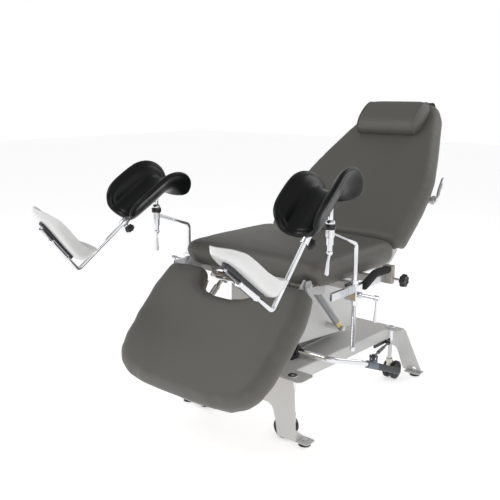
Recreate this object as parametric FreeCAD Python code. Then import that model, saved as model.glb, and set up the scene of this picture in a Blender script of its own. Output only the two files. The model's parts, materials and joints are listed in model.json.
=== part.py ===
"""Three-section gynaecological examination chair, millimetres.

X = 0 is the symmetry plane, +Y points to the head end, +Z is up. Shapes are
modelled in a working frame whose y = 0 lies at the foot-end feet, then shifted
so that the origin is the middle of the bounding box's base.
"""
import math
import os

import FreeCAD
import Part
from FreeCAD import Vector as V

# ---------------------------------------------------------------- dimensions
SHIFT = V(0.0, -299.7, 0.0)

FOOT_X = 267.0            # feet, half track
HEAD_FOOT_Y = 775.0       # head-end feet
PAD_R = 20.5
PAD_H = 12.0
DECK_Z = 222.0            # top of the base beam
DECK_Y0 = 60.0
DECK_Y1 = 660.0
PLATE_Y = 682.0           # top of the head-end plate
DECK_W0 = 184.0           # half width, foot end
DECK_W1 = 207.0           # half width, head end
SHEET = 3.0
FLANGE = 45.0
CASTOR_X = 208.0
CASTOR_Y = (9.0, 662.0)
TRAIL = 24.0
WHEEL_R = 37.0
WHEEL_Z = 39.0

LIFT_YC = 290.0           # column centre
STAGES = ((60.0, 108.0, 222.0, 430.0), (56.5, 104.5, 226.0, 455.0), (53.0, 101.0, 230.0, 482.0))
SHROUD_X = 140.0
SHROUD_TOP = 482.0

RAIL_X0 = 339.0
RAIL_X1 = 349.0
RAIL_Z = 515.0
RAIL_Y = (14.0, 376.0)

SEAT_W = 305.0
SEAT_Y = (8.0, 512.0)
SEAT_Z = (546.0, 602.0)
BOARD_T = 14.0
TILT_Y = 440.0            # seat tilt hinge
TILT_Z = 498.0
SPRING_LO = (200.0, 305.0, 310.0)
SPRING_HI = (200.0, 110.0, 512.0)

BACK_Y = 540.0            # backrest hinge
BACK_Z = 540.0
BACK_ANGLE = 39.0
BACK_OUTLINE = ((14.0, 285.0), (40.0, 305.0), (200.0, 307.0), (300.0, 300.0), (380.0, 286.0), (500.0, 250.0),
                (640.0, 205.0), (720.0, 178.0), (775.0, 145.0), (806.0, 105.0), (820.0, 60.0))

FOOT_Y = 5.0              # foot section hinge
FOOT_Z = 540.0
FOOT_ANGLE = 45.0
FOOT_OUTLINE = ((22.0, 292.0), (40.0, 306.0), (130.0, 324.0), (250.0, 325.0), (340.0, 316.0), (395.0, 300.0),
                (430.0, 270.0), (455.0, 220.0), (466.0, 150.0), (468.0, 70.0))
NOTCH = ((22.0, 154.0), (57.0, 143.0), (88.0, 126.0), (108.0, 90.0), (121.0, 40.0))

ROD_R = 7.0
BAR_R = 7.0

# Right and left leg holders, modelled on the right: rod y, bend z, ball centre, yaw of the holder's plane,
# bar corner (forward, up from the ball), angle of the bar's upper leg, yaw and rise of its foot leg,
# knee crutch (yaw, pitch, roll, then forward, up and sideways from the ball), foot shell roll and rise.
SIDES = {
    "right": dict(sx=1, rod_y=126.0, bend_z=669.0, ball=(364.0, -30.0, 758.0), yaw=0.0, corner=(274.0, -206.0),
                  up=131.0, out=(1.5, 37.7), crutch=(5.55, 36.3, 9.6, 2.0, 74.0, -20.0), shell=(0.0, 18.0)),
    "left": dict(sx=-1, rod_y=107.0, bend_z=648.0, ball=(364.0, -51.0, 733.0), yaw=5.0, corner=(328.0, -175.0),
                 up=144.0, out=(-18.5, 44.0), crutch=(8.8, 32.9, 11.7, 5.5, 63.0, -2.3), shell=(22.0, 14.0)),
}

os.makedirs("parts", exist_ok=True)


# ------------------------------------------------------------------- helpers
def save(shape, name):
    s = shape.copy()
    s.translate(SHIFT)
    s.exportStep("parts/%s.step" % name)


def box(x0, x1, y0, y1, z0, z1):
    return Part.makeBox(x1 - x0, y1 - y0, z1 - z0, V(x0, y0, z0))


def cyl(a, b, r):
    a = V(*a)
    b = V(*b)
    return Part.makeCylinder(r, (b - a).Length, a, b - a)


def ring(a, b, ro, ri):
    return cyl(a, b, ro).cut(cyl(a, b, ri))


def cone(a, b, r0, r1):
    a = V(*a)
    b = V(*b)
    return Part.makeCone(r0, r1, (b - a).Length, a, b - a)


def sphere(c, r):
    return Part.makeSphere(r, V(*c))


def fuse(shapes):
    out = shapes[0]
    for s in shapes[1:]:
        out = out.fuse(s)
    return out.removeSplitter()


def group(shapes):
    return Part.makeCompound(shapes)


def prism(points, direction):
    pts = [V(*p) for p in points]
    face = Part.Face(Part.makePolygon(pts + [pts[0]]))
    return face.extrude(V(*direction))


def bent(points, r, bend):
    """Round bar along a polyline with bends of the given radius."""
    pts = [V(*p) for p in points]
    edges = []
    last = pts[0]
    for i in range(1, len(pts) - 1):
        a = (pts[i - 1] - pts[i]).normalize()
        b = (pts[i + 1] - pts[i]).normalize()
        half = a.getAngle(b) / 2.0
        cut = bend / math.tan(half)
        p0 = pts[i] + a * cut
        p1 = pts[i] + b * cut
        mid_dir = (a + b).normalize()
        centre = pts[i] + mid_dir * (bend / math.sin(half))
        pm = centre - mid_dir * bend
        edges.append(Part.makeLine(last, p0))
        edges.append(Part.Arc(p0, pm, p1).toShape())
        last = p1
    edges.append(Part.makeLine(last, pts[-1]))
    circle = Part.Wire([Part.makeCircle(r, pts[0], pts[1] - pts[0])])
    return Part.Wire(edges).makePipeShell([circle], True, True)


def fillet(shape, radius, test):
    edges = [e for e in shape.Edges if test(e)]
    return shape.makeFillet(radius, edges)


def vertical(e):
    d = e.valueAt(e.LastParameter) - e.valueAt(e.FirstParameter)
    return d.Length > 1 and abs(d.z) / d.Length > 0.99


def mirror_x(shape):
    return shape.mirror(V(0, 0, 0), V(1, 0, 0))


def star_knob(centre, axis, r, depth):
    """Lobed hand knob; centre is the middle of its back face."""
    c = V(*centre)
    a = V(*axis).normalize()
    side = a.cross(V(0, 0, 1))
    if side.Length < 0.1:
        side = a.cross(V(0, 1, 0))
    side.normalize()
    parts = [Part.makeCylinder(r * 0.72, depth, c, a)]
    for i in range(6):
        p = FreeCAD.Rotation(a, 60.0 * i).multVec(side) * (r * 0.72)
        parts.append(Part.makeCylinder(r * 0.28, depth, c + p, a))
    return fuse(parts)


def place(shape, origin, ex, ey, ez):
    """Move a shape from local axes to the given origin and axes."""
    m = FreeCAD.Matrix(ex.x, ey.x, ez.x, origin.x, ex.y, ey.y, ez.y, origin.y, ex.z, ey.z, ez.z, origin.z, 0, 0, 0, 1)
    s = shape.copy()
    s.transformShape(m)
    return s


# ---------------------------------------------------------------------- base
def base_deck():
    z0 = DECK_Z - SHEET
    top = [(-DECK_W0, DECK_Y0, z0), (-DECK_W1, DECK_Y1, z0), (DECK_W1, DECK_Y1, z0), (DECK_W0, DECK_Y0, z0)]
    deck = prism(top, (0, 0, SHEET))
    ends = []
    for y0, y1 in ((-24.0, DECK_Y0), (632.0, PLATE_Y)):
        plate = box(-261.0, 261.0, y0, y1, z0, DECK_Z)
        ends.append(fillet(plate, 18.0, vertical))
    shape = fuse([deck] + ends)
    flanges = []
    for sx in (-1, 1):
        a0 = (sx * (DECK_W0 - SHEET), DECK_Y0 - 50, DECK_Z - FLANGE)
        a1 = (sx * DECK_W0, DECK_Y0 - 50, DECK_Z - FLANGE)
        b1 = (sx * DECK_W1, DECK_Y1, DECK_Z - FLANGE)
        b0 = (sx * (DECK_W1 - SHEET), DECK_Y1, DECK_Z - FLANGE)
        flanges.append(prism([a0, a1, b1, b0], (0, 0, FLANGE - SHEET)))
    shape = fuse([shape] + flanges)
    for sx in (-1, 1):
        for y in CASTOR_Y:
            shape = shape.cut(cyl((sx * CASTOR_X, y, 170.0), (sx * CASTOR_X, y, 240.0), 13.1))
    return shape


def foot_end_plate():
    y = -24.0
    out = []
    for sx in (1, -1):
        side = [(0, DECK_Z - SHEET), (232, DECK_Z - SHEET), (239, 190), (248, 12), (172, 12), (162, 70), (154, 100)]
        side += [(146, 112), (134, 119), (116, 121), (0, 121)]
        out.append(prism([(sx * x, y, z) for x, z in side], (0, SHEET, 0)))
        tab = box(min(sx * 238, sx * 293), max(sx * 238, sx * 293), y, 26.0, PAD_H, PAD_H + SHEET)
        out.append(fillet(tab, 10.0, lambda e: vertical(e) and abs(e.CenterOfMass.x) > 280))
        gusset = [(sx * 248, y, PAD_H + SHEET), (sx * 248, 24.0, PAD_H + SHEET), (sx * 246, y, 56.0)]
        out.append(prism(gusset, (-sx * SHEET, 0, 0)))
    return fuse(out)


def head_end_plate():
    # drawn flat in the XY plane with y along the slope, then tilted
    top = V(0, PLATE_Y, DECK_Z - SHEET)
    low = V(0, HEAD_FOOT_Y + 2.0, PAD_H + 1.2)
    ey = (low - top).normalize()
    ez = V(1, 0, 0).cross(ey)
    length = (low - top).Length
    out = []
    for sx in (1, -1):
        side = [(0, 0), (252, 0), (262, 12), (297, length), (212, length), (204, 120), (196, 108), (180, 102), (0, 102)]
        out.append(prism([(sx * x, y, 0) for x, y in side], (0, 0, SHEET)))
    plate = place(fuse(out), top, V(1, 0, 0), ey, ez)
    parts = [plate]
    for sx in (1, -1):
        a = sx * 228
        b = sx * 297
        tab = box(min(a, b), max(a, b), HEAD_FOOT_Y - 24.0, HEAD_FOOT_Y + 26.0, PAD_H, PAD_H + SHEET)
        parts.append(fillet(tab, 10.0, vertical))
    shape = fuse(parts)
    for sx in (1, -1):
        foot = (sx * FOOT_X, HEAD_FOOT_Y, PAD_H + SHEET)
        shape = shape.cut(cyl(foot, (sx * FOOT_X, HEAD_FOOT_Y, 40.0), 9.5))
        shape = shape.cut(cyl((sx * CASTOR_X, CASTOR_Y[1], 170.0), (sx * CASTOR_X, CASTOR_Y[1], 240.0), 18.2))
    return shape


def feet():
    out = []
    for sx in (-1, 1):
        for y in (0.0, HEAD_FOOT_Y):
            pad = cyl((sx * FOOT_X, y, 0), (sx * FOOT_X, y, PAD_H - 0.02), PAD_R)
            out.append(pad.makeFillet(2.0, [e for e in pad.Edges if e.CenterOfMass.z < 1 and e.Length > 50]))
    return group(out)


def base_fittings():
    out = []
    for sx in (-1, 1):
        for y in (0.0, HEAD_FOOT_Y):
            z = PAD_H + SHEET
            bolt = cyl((sx * FOOT_X, y, z), (sx * FOOT_X, y, z + 5.0), 8.0)
            out.append(bolt.fuse(cyl((sx * FOOT_X, y, z + 5.0), (sx * FOOT_X, y, z + 9.0), 4.0)))
        for y in CASTOR_Y:
            x = sx * CASTOR_X
            body = ring((x, y, DECK_Z - 52.0), (x, y, DECK_Z + 1.5), 12.9, 8.0)
            lip = ring((x, y, DECK_Z + 0.02), (x, y, DECK_Z + 4.0), 18.0, 8.0)
            lip = lip.makeFillet(1.5, [e for e in lip.Edges if e.CenterOfMass.z > DECK_Z + 3.5 and e.Length > 100])
            out.append(body.fuse(lip))
    return group(out)


# ---------------------------------------------------------------------- lift
def tube_stage(i):
    hx, hy, z0, z1 = STAGES[i]
    wall = 2.5
    outer = box(-hx, hx, LIFT_YC - hy, LIFT_YC + hy, z0, z1)
    inner = box(-hx + wall, hx - wall, LIFT_YC - hy + wall, LIFT_YC + hy - wall, z0 - 1, z1 + 1)
    outer = fillet(outer, 12.0, vertical)
    inner = fillet(inner, 9.5, vertical)
    return outer.cut(inner)


def lift_column():
    hx, hy, z0, z1 = STAGES[0]
    flange = box(-hx - 22, hx + 22, LIFT_YC - hy - 14, LIFT_YC + hy + 14, z0, z0 + 6.0)
    core = box(-hx + 3, hx - 3, LIFT_YC - hy + 3, LIFT_YC + hy - 3, z0 - 1, z0 + 7.0)
    ram = cyl((0, LIFT_YC, z0), (0, LIFT_YC, 420.0), 21.0)
    foot = box(-hx + 1, hx - 1, LIFT_YC - 20, LIFT_YC + 20, z0, z0 + 3.0)
    bore = cyl((0, LIFT_YC, 232.0), (0, LIFT_YC, 421.0), 12.05)
    return fuse([tube_stage(0), flange.cut(core), foot, ram]).cut(bore)


def lift_ram():
    hx, hy, z0, z1 = STAGES[2]
    plate = box(-176.0, 176.0, 150.0, 470.0, z1, z1 + 6.0)
    rod = cyl((0, LIFT_YC, 238.0), (0, LIFT_YC, z1 + 3.0), 12.0)
    lugs = []
    for sx in (-1, 1):
        a = sx * 150.0
        lug = [(a, TILT_Y - 22, z1 + 6.0), (a, TILT_Y + 22, z1 + 6.0), (a, TILT_Y + 12, TILT_Z + 11), (a, TILT_Y - 12, TILT_Z + 11)]
        lugs.append(prism(lug, (sx * 6.0, 0, 0)))
    pins = [cyl((sx * 140.0, TILT_Y, TILT_Z), (sx * 196.0, TILT_Y, TILT_Z), 6.0) for sx in (-1, 1)]
    rests = [box(sx * 160.0 - 15, sx * 160.0 + 15, 158.0, 190.0, z1 + 6.0, z1 + 11.6) for sx in (-1, 1)]
    return fuse([tube_stage(2), plate, rod] + lugs + pins + rests)


def shroud_side(y0, y1, z_a, z_b, x_out):
    pts = [(x_out - SHEET, y0, z_a), (x_out - SHEET, y1, z_b), (x_out - SHEET, y1, SHROUD_TOP), (x_out - SHEET, y0, SHROUD_TOP)]
    return prism(pts, (SHEET, 0, 0))


def lift_shrouds():
    out = []
    front = [shroud_side(100.0, 386.0, 288.0, 262.0, SHROUD_X)]
    front.append(mirror_x(front[0]))
    front.append(box(-SHROUD_X, SHROUD_X, 100.0, 100.0 + SHEET, 288.0, SHROUD_TOP))
    front.append(box(-SHROUD_X, SHROUD_X, 100.0, 155.0, SHROUD_TOP - SHEET, SHROUD_TOP))
    boss = cyl((SHROUD_X - 2, SPRING_LO[1], SPRING_LO[2]), (SPRING_LO[0] - 12.0, SPRING_LO[1], SPRING_LO[2]), 11.0)
    pin = cyl((SPRING_LO[0] - 12.0, SPRING_LO[1], SPRING_LO[2]), (SPRING_LO[0] + 12.0, SPRING_LO[1], SPRING_LO[2]), 5.0)
    head = cyl((SPRING_LO[0] + 10.0, SPRING_LO[1], SPRING_LO[2]), (SPRING_LO[0] + 14.0, SPRING_LO[1], SPRING_LO[2]), 8.5)
    out.append(fuse(front + [boss, pin, head]))
    x = SHROUD_X - 7.0
    rear = [shroud_side(392.0, 488.0, 262.0, 262.0, x)]
    rear.append(mirror_x(rear[0]))
    rear.append(box(-x, x, 485.0, 488.0, 262.0, SHROUD_TOP))
    rear.append(box(-x, x, 445.0, 488.0, SHROUD_TOP - SHEET, SHROUD_TOP))
    out.append(fuse(rear))
    return group(out)


def pump_body():
    block = box(84.0, 122.0, 118.0, 166.0, DECK_Z, 290.0)
    block = fillet(block, 8.0, vertical)
    boss = cyl((122.0, 150.0, 250.0), (130.0, 150.0, 250.0), 16.0)
    tank = cyl((102.0, 142.0, 290.0), (102.0, 142.0, 330.0), 16.0)
    return fuse([block, boss, tank]).cut(cyl((60.0, 150.0, 250.0), (140.0, 150.0, 250.0), 10.05))


# ---------------------------------------------------------------------- seat
def seat_frame():
    z0 = 500.0
    z1 = 532.0
    out = []
    for sx in (-1, 1):
        out.append(box(sx * 215.0 - 15, sx * 215.0 + 15, 60.0, 516.0, z0, z1))
        ear = [(sx * 250.0, 500.0, z0), (sx * 250.0, 556.0, 524.0), (sx * 250.0, 556.0, 553.0), (sx * 250.0, 524.0, 553.0),
               (sx * 250.0, 500.0, z1)]
        out.append(prism(ear, (sx * 8.0, 0, 0)))
        out.append(box(min(sx * 225.0, sx * 258.0), max(sx * 225.0, sx * 258.0), 478.0, 512.0, z0, z1))
        ear = [(sx * 262.0, 14.0, 512.0), (sx * 262.0, 62.0, z0), (sx * 262.0, 92.0, z0), (sx * 262.0, 92.0, z1),
               (sx * 262.0, 24.0, z1), (sx * 262.0, 14.0, 556.0), (sx * 262.0, -4.0, 556.0), (sx * 262.0, -8.0, 526.0)]
        out.append(prism(ear, (sx * 8.0, 0, 0)))
        out.append(box(min(sx * 225.0, sx * 270.0), max(sx * 225.0, sx * 270.0), 62.0, 92.0, z0, z1))
        for y in (165.0, 290.0):
            out.append(box(min(sx * 225.0, sx * RAIL_X0), max(sx * 225.0, sx * RAIL_X0), y, y + 24.0, 503.0, 527.0))
        lug = [(sx * 180.0, TILT_Y - 15, 530.0), (sx * 180.0, TILT_Y + 15, 530.0), (sx * 180.0, TILT_Y + 15, TILT_Z),
               (sx * 180.0, TILT_Y, TILT_Z - 14.0), (sx * 180.0, TILT_Y - 15, TILT_Z)]
        out.append(prism(lug, (sx * 8.0, 0, 0)))
        out.append(box(min(sx * 180.0, sx * 206.0), max(sx * 180.0, sx * 206.0), TILT_Y - 15, TILT_Y + 15, 514.0, 530.0))
    for y in (95.0, 300.0, 486.0):
        out.append(box(-205.0, 205.0, y, y + 26.0, z0 + 2, z1 - 1))
    x, y, z = SPRING_HI
    out.append(cyl((x - 12.0, y, z), (x + 12.0, y, z), 4.0))
    frame = fuse(out)
    for sx in (-1, 1):
        frame = frame.cut(cyl((sx * 170.0, TILT_Y, TILT_Z), (sx * 200.0, TILT_Y, TILT_Z), 6.05))
        frame = frame.cut(cyl((sx * 240.0, BACK_Y, BACK_Z), (sx * 268.0, BACK_Y, BACK_Z), 6.05))
        frame = frame.cut(cyl((sx * 255.0, FOOT_Y, FOOT_Z), (sx * 280.0, FOOT_Y, FOOT_Z), 6.05))
    return frame


def spring_well(shape):
    """Clear the tilt spring's head and its travel out of the seat frame."""
    x, y, z = SPRING_HI
    return shape.cut(box(x - 10.5, x + 10.5, y - 24.0, y + 24.0, z - 30.0, z + 12.0))


def seat_board():
    board = box(-292.0, 292.0, 12.0, 506.0, SEAT_Z[0] - BOARD_T, SEAT_Z[0])
    board = fillet(board, 45.0, vertical)
    for sx in (-1, 1):
        board = board.cut(box(min(sx * 240, sx * 300), max(sx * 240, sx * 300), 494.0, 520.0, 500.0, 560.0))
        board = board.cut(box(min(sx * 238, sx * 300), max(sx * 238, sx * 300), 0.0, 34.0, 500.0, 560.0))
    return board


def seat_cushion():
    pad = box(-SEAT_W, SEAT_W, SEAT_Y[0], SEAT_Y[1], SEAT_Z[0], SEAT_Z[1])
    pad = fillet(pad, 55.0, vertical)
    pad = pad.makeFillet(24.0, [e for e in pad.Edges if e.BoundBox.ZMin > SEAT_Z[1] - 0.5])
    pad = pad.makeFillet(12.0, [e for e in pad.Edges if e.BoundBox.ZMax < SEAT_Z[0] + 0.5])
    for sx in (-1, 1):
        pad = pad.cut(box(min(sx * 240, sx * 310), max(sx * 240, sx * 310), 494.0, 520.0, 500.0, 560.0))
        pad = pad.cut(box(min(sx * 238, sx * 310), max(sx * 238, sx * 310), 0.0, 34.0, 500.0, 562.0))
    return pad


def side_rails():
    out = []
    for sx in (-1, 1):
        a = sx * RAIL_X0
        b = sx * RAIL_X1
        rail = box(min(a, b), max(a, b), RAIL_Y[0], RAIL_Y[1], RAIL_Z - 12.5, RAIL_Z + 12.5)
        c = sx * (RAIL_X0 + 2.0)
        d = sx * (RAIL_X1 - 2.0)
        hollow = box(min(c, d), max(c, d), RAIL_Y[0] - 1, RAIL_Y[0] + 14.0, RAIL_Z - 10.5, RAIL_Z + 10.5)
        out.append(rail.cut(hollow))
    return group(out)


# ------------------------------------------------------------------ backrest
BACK_T = V(0, math.cos(math.radians(BACK_ANGLE)), math.sin(math.radians(BACK_ANGLE)))
BACK_N = V(0, -math.sin(math.radians(BACK_ANGLE)), math.cos(math.radians(BACK_ANGLE)))


def on_back(shape):
    return place(shape, V(0, BACK_Y, BACK_Z), V(1, 0, 0), BACK_T, BACK_N)


def section(outline, z0, z1, inset=0.0):
    """Plate with a symmetric outline, local y along the section."""
    right = [(w - inset, t) for t, w in outline]
    pts = right + [(-x, t) for x, t in reversed(right)]
    lo = min(t for x, t in pts) + inset
    hi = max(t for x, t in pts) - inset
    pts = [(x, min(max(t, lo), hi)) for x, t in pts]
    return prism([(x, t, z0) for x, t in pts], (0, 0, z1 - z0))


def soften(shape, top, bottom):
    z0 = shape.BoundBox.ZMin
    z1 = shape.BoundBox.ZMax
    s = shape.makeChamfer(top, [e for e in shape.Edges if e.BoundBox.ZMin > z1 - 0.5])
    return s.makeChamfer(bottom, [e for e in s.Edges if e.BoundBox.ZMax < z0 + 0.5])


def backrest_frame():
    out = []
    for sx in (-1, 1):
        rail = prism([(sx * 225.0, 20.0, -36.0), (sx * 225.0, 300.0, -36.0), (sx * 110.0, 700.0, -36.0),
                      (sx * 82.0, 700.0, -36.0), (sx * 195.0, 300.0, -36.0), (sx * 195.0, 20.0, -36.0)], (0, 0, 28.0))
        out.append(rail)
        arm = box(min(sx * 225, sx * 248), max(sx * 225, sx * 248), 20.0, 60.0, -36.0, -8.0)
        out.append(arm)
        out.append(box(min(sx * 240, sx * 248), max(sx * 240, sx * 248), -12.0, 38.0, -30.0, 10.0))
        out.append(box(min(sx * 240, sx * 248), max(sx * 240, sx * 248), -12.0, 60.0, -30.0, -8.0))
        out.append(cyl((sx * 236.0, 0, 0), (sx * 262.0, 0, 0), 6.0))
    for t, w in ((60.0, 200.0), (330.0, 190.0), (640.0, 110.0)):
        out.append(box(-w, w, t, t + 26.0, -34.0, -10.0))
    lever_boss = box(286.0, 300.0, 300.0, 330.0, -26.0, -8.0)
    out.append(box(190.0, 300.0, 305.0, 325.0, -26.0, -10.0).fuse(lever_boss))
    return on_back(fuse(out))


def backrest_board():
    b = section(BACK_OUTLINE, -8.0, 6.0, inset=10.0)
    for sx in (-1, 1):
        b = b.cut(box(min(sx * 232, sx * 320), max(sx * 232, sx * 320), 0.0, 40.0, -10.0, 20.0))
    return on_back(b)


def backrest_cushion():
    c = soften(section(BACK_OUTLINE, 6.0, 64.0), 20.0, 9.0)
    for sx in (-1, 1):
        c = c.cut(box(min(sx * 232, sx * 320), max(sx * 232, sx * 320), 0.0, 40.0, 0.0, 22.0))
    return on_back(c)


def backrest_lever():
    rod = bent([(304.0, 315.0, -17.0), (304.0, 345.0, -17.0), (316.0, 420.0, -17.0)], 4.0, 20.0)
    rod = rod.fuse(cyl((300.1, 315.0, -17.0), (309.0, 315.0, -17.0), 9.0))
    grip = cyl((311.0, 385.0, -17.0), (318.0, 452.0, -17.0), 8.0)
    return on_back(rod.fuse(grip))


def pillow():
    core = Part.makeCylinder(48.0, 270.0, V(-135.0, 0, 0), V(1, 0, 0))
    m = FreeCAD.Matrix()
    m.scale(1.0, 1.85, 1.0)
    core = core.transformGeometry(m)
    low = box(-150.0, 150.0, -110.0, 110.0, -60.0, -36.0)
    core = core.cut(low)
    core.translate(V(0, 650.0, 64.0 + 36.5))
    return on_back(core)


def pillow_straps():
    out = []
    for sx in (-1, 1):
        x0 = sx * 98.0 - 13.0
        top = box(x0, x0 + 26.0, 716.0, 815.0, 64.4, 66.4)
        back = box(x0, x0 + 26.0, 813.0, 815.0, -12.0, 66.0)
        under = box(x0, x0 + 26.0, 700.0, 815.0, -12.0, -10.0)
        out.append(fuse([top, back, under]))
    return on_back(group(out))


# -------------------------------------------------------------- foot section
FOOT_T = V(0, -math.cos(math.radians(FOOT_ANGLE)), -math.sin(math.radians(FOOT_ANGLE)))
FOOT_N = V(0, -math.sin(math.radians(FOOT_ANGLE)), math.cos(math.radians(FOOT_ANGLE)))


def on_foot(shape):
    return place(shape, V(0, FOOT_Y, FOOT_Z), V(-1, 0, 0), FOOT_T, FOOT_N)


def notch_cutter(z0, z1, grow=0.0):
    right = [(w + grow, t + (grow if t > 30 else 0)) for t, w in NOTCH]
    pts = [(right[0][0], -40.0)] + right
    pts = pts + [(-x, t) for x, t in reversed(pts)]
    return prism([(x, t, z0) for x, t in pts], (0, 0, z1 - z0))


def foot_frame():
    out = []
    for sx in (-1, 1):
        out.append(box(min(sx * 222, sx * 252), max(sx * 222, sx * 252), 24.0, 380.0, -54.0, -30.0))
        out.append(box(min(sx * 246, sx * 254), max(sx * 246, sx * 254), -12.0, 38.0, -40.0, 12.0))
        out.append(box(min(sx * 246, sx * 254), max(sx * 246, sx * 254), -12.0, 60.0, -40.0, -30.5))
        out.append(cyl((sx * 242.0, 0, 0), (sx * 276.0, 0, 0), 6.0))
    for t in (150.0, 354.0):
        out.append(box(-230.0, 230.0, t, t + 26.0, -52.0, -30.0))
    return on_foot(fuse(out))


def foot_board():
    b = section(FOOT_OUTLINE, -30.0, -16.0, inset=10.0).cut(notch_cutter(-60.0, 60.0, grow=8.0))
    for sx in (-1, 1):
        b = b.cut(box(min(sx * 240, sx * 330), max(sx * 240, sx * 330), 0.0, 62.0, -31.0, 30.0))
    return on_foot(b)


def foot_cushion():
    c = section(FOOT_OUTLINE, -16.0, 38.0)
    c = soften(c, 18.0, 8.0).cut(notch_cutter(-60.0, 60.0))
    for sx in (-1, 1):
        c = c.cut(box(min(sx * 238, sx * 330), max(sx * 238, sx * 330), 0.0, 40.0, -31.0, 18.0))
    return on_foot(c)


def foot_stop():
    tube = cyl((-205.0, 70.0, 484.0), (205.0, 70.0, 484.0), 12.0)
    clamp = cyl((-172.0, 70.0, 484.0), (-138.0, 70.0, 484.0), 19.0)
    a = (-155.0, 62.0, 474.0)
    b = (-155.0, -48.0, 387.0)
    strut = cyl(a, b, 8.0)
    sleeve = cyl((-155.0, 40.0, 456.6), (-155.0, 4.0, 428.1), 11.5)
    posts = [box(sx * 190.0 - 10, sx * 190.0 + 10, 58.0, 82.0, 484.0, 500.0) for sx in (-1, 1)]
    return fuse([tube, clamp, strut, sleeve] + posts)


# --------------------------------------------------------------- tilt spring
def spring_axis():
    lo = V(*SPRING_LO)
    hi = V(*SPRING_HI)
    return lo, hi, (hi - lo).normalize()


def tilt_spring_cylinder():
    lo, hi, d = spring_axis()
    eye = cyl((lo.x - 8.0, lo.y, lo.z), (lo.x + 8.0, lo.y, lo.z), 8.5)
    neck = Part.makeCylinder(5.0, 20.0, lo + d * 4.0, d)
    body = Part.makeCylinder(10.5, 168.0, lo + d * 18.0, d)
    bore = Part.makeCylinder(5.05, 175.0, lo + d * 24.0, d)
    hole = cyl((lo.x - 9.0, lo.y, lo.z), (lo.x + 9.0, lo.y, lo.z), 5.05)
    return fuse([eye, neck, body]).cut(bore).cut(hole)


def tilt_spring_rod():
    lo, hi, d = spring_axis()
    rod = Part.makeCylinder(5.0, (hi - lo).Length - 36.0 - 5.0, lo + d * 36.0, d)
    sleeve = Part.makeCylinder(12.5, 192.0, lo + d * 46.0, d)
    sleeve = sleeve.cut(Part.makeCylinder(11.0, 187.0, lo + d * 45.0, d))
    eye = cyl((hi.x - 8.0, hi.y, hi.z), (hi.x + 8.0, hi.y, hi.z), 9.0)
    hole = cyl((hi.x - 9.0, hi.y, hi.z), (hi.x + 9.0, hi.y, hi.z), 5.4)
    return fuse([rod, sleeve, eye]).cut(hole)


# --------------------------------------------------------------- leg holders
def side_axes(p):
    """Origin, forward axis and up axis of a leg holder's vertical plane (right-hand build)."""
    yaw = math.radians(p["yaw"])
    fwd = V(math.sin(yaw), -math.cos(yaw), 0)
    return V(*p["ball"]), fwd, V(0, 0, 1)


def in_plane(p, s, z):
    o, f, u = side_axes(p)
    return o + f * s + u * z


def rail_clamp(p):
    y = p["rod_y"]
    body = box(334.0, 378.0, y - 19.0, y + 19.0, 488.0, 538.0)
    slot = box(338.7, 349.3, y - 20.0, y + 20.0, RAIL_Z - 12.8, RAIL_Z + 12.8)
    collar = cyl((360.0, y, 470.0), (360.0, y, 552.0), 12.0).cut(box(330.0, 349.3, y - 20.0, y + 20.0, 460.0, 560.0))
    shape = fuse([fillet(body, 3.0, lambda e: vertical(e) and e.CenterOfMass.x > 370), collar])
    shape = shape.cut(slot).cut(cyl((360.0, y, 460.0), (360.0, y, 560.0), ROD_R + 0.05))
    return shape.cut(cyl((368.5, y - 0.0, 506.0), (380.0, y, 506.0), 6.05))


def clamp_lever(p):
    y = p["rod_y"]
    screw = cyl((369.0, y, 506.0), (438.0, y, 506.0), 6.0)
    collar = cyl((379.0, y, 506.0), (389.0, y, 506.0), 9.5)
    boss = cyl((432.0, y, 506.0), (450.0, y, 506.0), 9.0)
    tommy = cyl((441.0, y, 500.0), (441.0, y - 4.0, 455.0), 4.0)
    grip = cone((441.0, y - 3.0, 470.0), (441.0, y - 6.0, 430.0), 4.0, 6.5)
    return fuse([screw, collar, boss, tommy, grip])


def knee_rod(p):
    y = p["rod_y"]
    bx, by, bz = p["ball"]
    pts = [(360.0, y, 318.0), (360.0, y, p["bend_z"]), (bx, by + 4.0, bz - 30.0)]
    rod = bent(pts, ROD_R, 20.0)
    tip = sphere((360.0, y, 318.0), ROD_R)
    clamp = cyl((bx, by, bz - 44.0), (bx, by, bz + 4.0), 14.0)
    band = cyl((bx, by, bz - 20.0), (bx, by, bz - 4.0), 17.0)
    cup = cyl((bx, by, bz + 4.0), (bx, by, bz + 8.0), 12.5)
    shape = fuse([rod, tip, clamp, band, cup])
    shape = shape.cut(sphere((bx, by, bz), 11.3)).cut(cone((bx, by, bz + 1.0), (bx, by, bz + 30.0), 10.6, 30.0))
    return shape.cut(cyl((bx, by, bz - 50.0), (bx, by, bz - 26.0), 5.05))


def ball_lever(p):
    bx, by, bz = p["ball"]
    thread = cyl((bx, by, bz - 44.3), (bx, by, bz - 28.0), 5.0)
    collar = cyl((bx, by, bz - 66.0), (bx, by, bz - 44.3), 11.0)
    nut = cyl((bx, by, bz - 84.0), (bx, by, bz - 66.0), 8.0)
    ball = sphere((bx, by, bz - 90.0), 10.0)
    stem = cyl((bx, by, bz - 96.0), (bx - 2.0, by - 3.0, bz - 116.0), 4.0)
    grip = cone((bx - 2.0, by - 3.0, bz - 112.0), (bx - 4.0, by - 6.0, bz - 154.0), 4.2, 6.8)
    end = sphere((bx - 4.0, by - 6.0, bz - 154.0), 6.8)
    return fuse([thread, collar, nut, ball, stem, grip, end])


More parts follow.
